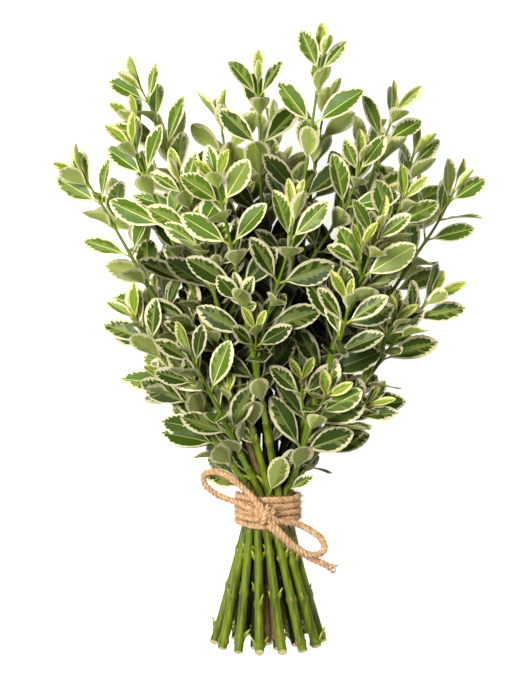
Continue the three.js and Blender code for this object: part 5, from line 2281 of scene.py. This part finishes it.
class BUNCH_OT_tie_twine(bpy.types.Operator):
    """Lay the jute twine: its turns, knot, bow and tail, with their stray fibres"""

    bl_idname = "bunch.tie_twine"
    bl_label = "Tie twine"

    def execute(self, context):
        looks = context.scene.twine_looks
        twine = yarn_material("jute_twine", looks, TWINE_FIBRE_SIZE)
        pieces = {
            "twine_turns": ([wrap_line(WRAP_STEPS, WRAP_WANDER)], ["twine_wrap"]),
            "twine_crossing": ([knot_band(), UPPER_STRAND, LOWER_STRAND], ["twine_knot"]),
            "twine_bow": (
                [LEFT_LOOP, RIGHT_LOOP, TAIL], ["twine_loop_left", "twine_loop_right", "twine_tail"],
            ),
        }
        for name, (lines, nodes) in pieces.items():
            obj = self.lay(name, lines, looks, twine)
            fibres = self.sow_fibres(obj, looks)
            ride_root(obj, "jute_twine", *nodes)
            ride_root(fibres, "jute_twine")
        return {"FINISHED"}

    def lay(self, name, lines, looks, twine):
        limbs = Limbs()
        for line in lines:
            path = smooth_path([Vector(point) for point in line], TWINE_STEP)
            limbs.add(path, fray=fray_along(line, path))
        return run_tree(limbs.lay(name), shared_group("laid_twine", laid_twine_tree), {
            "Plies": looks.plies,
            "Ply Radius": looks.ply_radius,
            "Ply Offset": looks.ply_offset,
            "Lay": looks.lay,
            "Step": 0.0011,
            "Sides": 7,
            "Twine": twine,
        })

    def sow_fibres(self, twine, looks):
        name = f"{twine.name}_fibres"
        fibres = put_in_scene(bpy.data.objects.new(name, twine.data.copy()))
        return run_tree(fibres, shared_group("stray_fibres", stray_fibre_tree), {
            "Density": 150000.0,
            "Length": looks.fibre_length,
            "Thickness": 0.00006,
            "Seed": 3,
            "Fibre": yarn_material(f"{name}_yarn", looks, HAIR_FIBRE_SIZE),
        })


# The stage, in metres, with the camera's sensor in millimetres

FLOOR_HALF = 3.0
FLOOR_ROUGHNESS = 0.9
FLOOR_SHINE = 0.1
WHITE = (1, 1, 1, 1)
LAMPS_LOOK_AT = Vector((0, 0, 0.1))
KEY_LAMP_PLACE = (-0.8, 0.35, 1.9)
KEY_LAMP_SIZE = 0.8
FILL_LAMP_PLACE = (0.5, -1.3, 1.6)
FILL_LAMP_SIZE = 1.0
CAMERA_X = -0.0062
CAMERA_Y = -0.0036
SENSOR_WIDTH = 36
BUNCH_MIDDLE = 0.1
FRAME_HEIGHT = 0.56


def lay_floor(looks):
    """A pale floor that glows to the camera alone."""
    mesh = bpy.data.meshes.new("floor")
    corners = [(-1, -1), (1, -1), (1, 1), (-1, 1)]
    mesh.from_pydata([(x * FLOOR_HALF, y * FLOOR_HALF, 0) for x, y in corners], [], [(0, 1, 2, 3)])
    floor = put_in_scene(bpy.data.objects.new("floor", mesh))
    material, tree, skin = new_material("pale_floor")
    seen = add_node(tree, "ShaderNodeLightPath").outputs["Is Camera Ray"]
    wire_all(tree, skin, {
        "Base Color": (*looks.floor, 1),
        "Roughness": FLOOR_ROUGHNESS,
        "Specular IOR Level": FLOOR_SHINE,
        "Emission Color": WHITE,
        "Emission Strength": maths(tree, "MULTIPLY", seen, looks.floor_glow),
    })
    mesh.materials.append(material)


def hang_lamp(name, place, size, energy):
    lamp = bpy.data.lights.new(name, "AREA")
    lamp.shape = "DISK"
    lamp.size = size
    lamp.energy = energy
    hung = put_in_scene(bpy.data.objects.new(name, lamp))
    hung.location = place
    hung.rotation_euler = (LAMPS_LOOK_AT - hung.location).to_track_quat("-Z", "Y").to_euler()


def hang_light(looks):
    """White all round: full white to the camera, and soft daylight on the bunch."""
    world = bpy.data.worlds.new("soft_daylight")
    world.use_nodes = True
    tree = world.node_tree
    seen = add_node(tree, "ShaderNodeLightPath").outputs["Is Camera Ray"]
    wire_all(tree, tree.nodes["Background"], {
        "Color": WHITE, "Strength": maths(tree, "MAXIMUM", seen, looks.daylight),
    })
    bpy.context.scene.world = world
    hang_lamp("key_light", KEY_LAMP_PLACE, KEY_LAMP_SIZE, looks.key_light)
    hang_lamp("fill_light", FILL_LAMP_PLACE, FILL_LAMP_SIZE, looks.fill_light)


def set_camera(scene, looks):
    """A camera straight over the bunch, with a lens that frames its whole length."""
    data = bpy.data.cameras.new("camera")
    data.sensor_width = SENSOR_WIDTH
    data.lens = SENSOR_WIDTH * (looks.camera_height - BUNCH_MIDDLE) / FRAME_HEIGHT
    camera = put_in_scene(bpy.data.objects.new("camera", data))
    camera.location = (CAMERA_X, CAMERA_Y, looks.camera_height)
    scene.camera = camera
    scene.view_settings.view_transform = "Standard"


class BUNCH_OT_set_stage(bpy.types.Operator):
    """Set the pale floor, the soft light and the camera that looks straight down"""

    bl_idname = "bunch.set_stage"
    bl_label = "Set stage"

    def execute(self, context):
        looks = context.scene.stage_looks
        lay_floor(looks)
        hang_light(looks)
        set_camera(context.scene, looks)
        return {"FINISHED"}


class BUNCH_PT_panel(bpy.types.Panel):
    """The sidebar panel with the bunch's settings and steps"""

    bl_idname = "BUNCH_PT_panel"
    bl_label = "Bunch of euonymus"
    bl_space_type = "VIEW_3D"
    bl_region_type = "UI"
    bl_category = "Bunch"

    def draw(self, context):
        layout = self.layout
        for group_name in SETTINGS:
            settings = getattr(context.scene, group_name)
            box = layout.box()
            box.label(text=group_name.replace("_", " ").capitalize())
            for name in type(settings).__annotations__:
                box.prop(settings, name)
        for operator in OPERATORS:
            layout.operator(operator.bl_idname)


SETTINGS = {
    "growth_sizes": GrowthSizes,
    "leaf_colours": LeafColours,
    "stem_colours": StemColours,
    "twine_looks": TwineLooks,
    "stage_looks": StageLooks,
}
OPERATORS = [
    BUNCH_OT_set_stage,
    BUNCH_OT_grow_stems,
    BUNCH_OT_grow_twigs,
    BUNCH_OT_grow_leaves,
    BUNCH_OT_set_buds,
    BUNCH_OT_tie_twine,
]


def register():
    for cls in [*SETTINGS.values(), *OPERATORS, BUNCH_PT_panel]:
        bpy.utils.register_class(cls)
    for name, cls in SETTINGS.items():
        setattr(bpy.types.Scene, name, bpy.props.PointerProperty(type=cls))


def unregister():
    for name in SETTINGS:
        delattr(bpy.types.Scene, name)
    for cls in reversed([*SETTINGS.values(), *OPERATORS, BUNCH_PT_panel]):
        bpy.utils.unregister_class(cls)


def main():
    register()
    bpy.ops.bunch.set_stage()
    bpy.ops.bunch.grow_stems()
    bpy.ops.bunch.grow_twigs()
    bpy.ops.bunch.grow_leaves()
    bpy.ops.bunch.set_buds()
    bpy.ops.bunch.tie_twine()


if __name__ == "__main__":
    main()
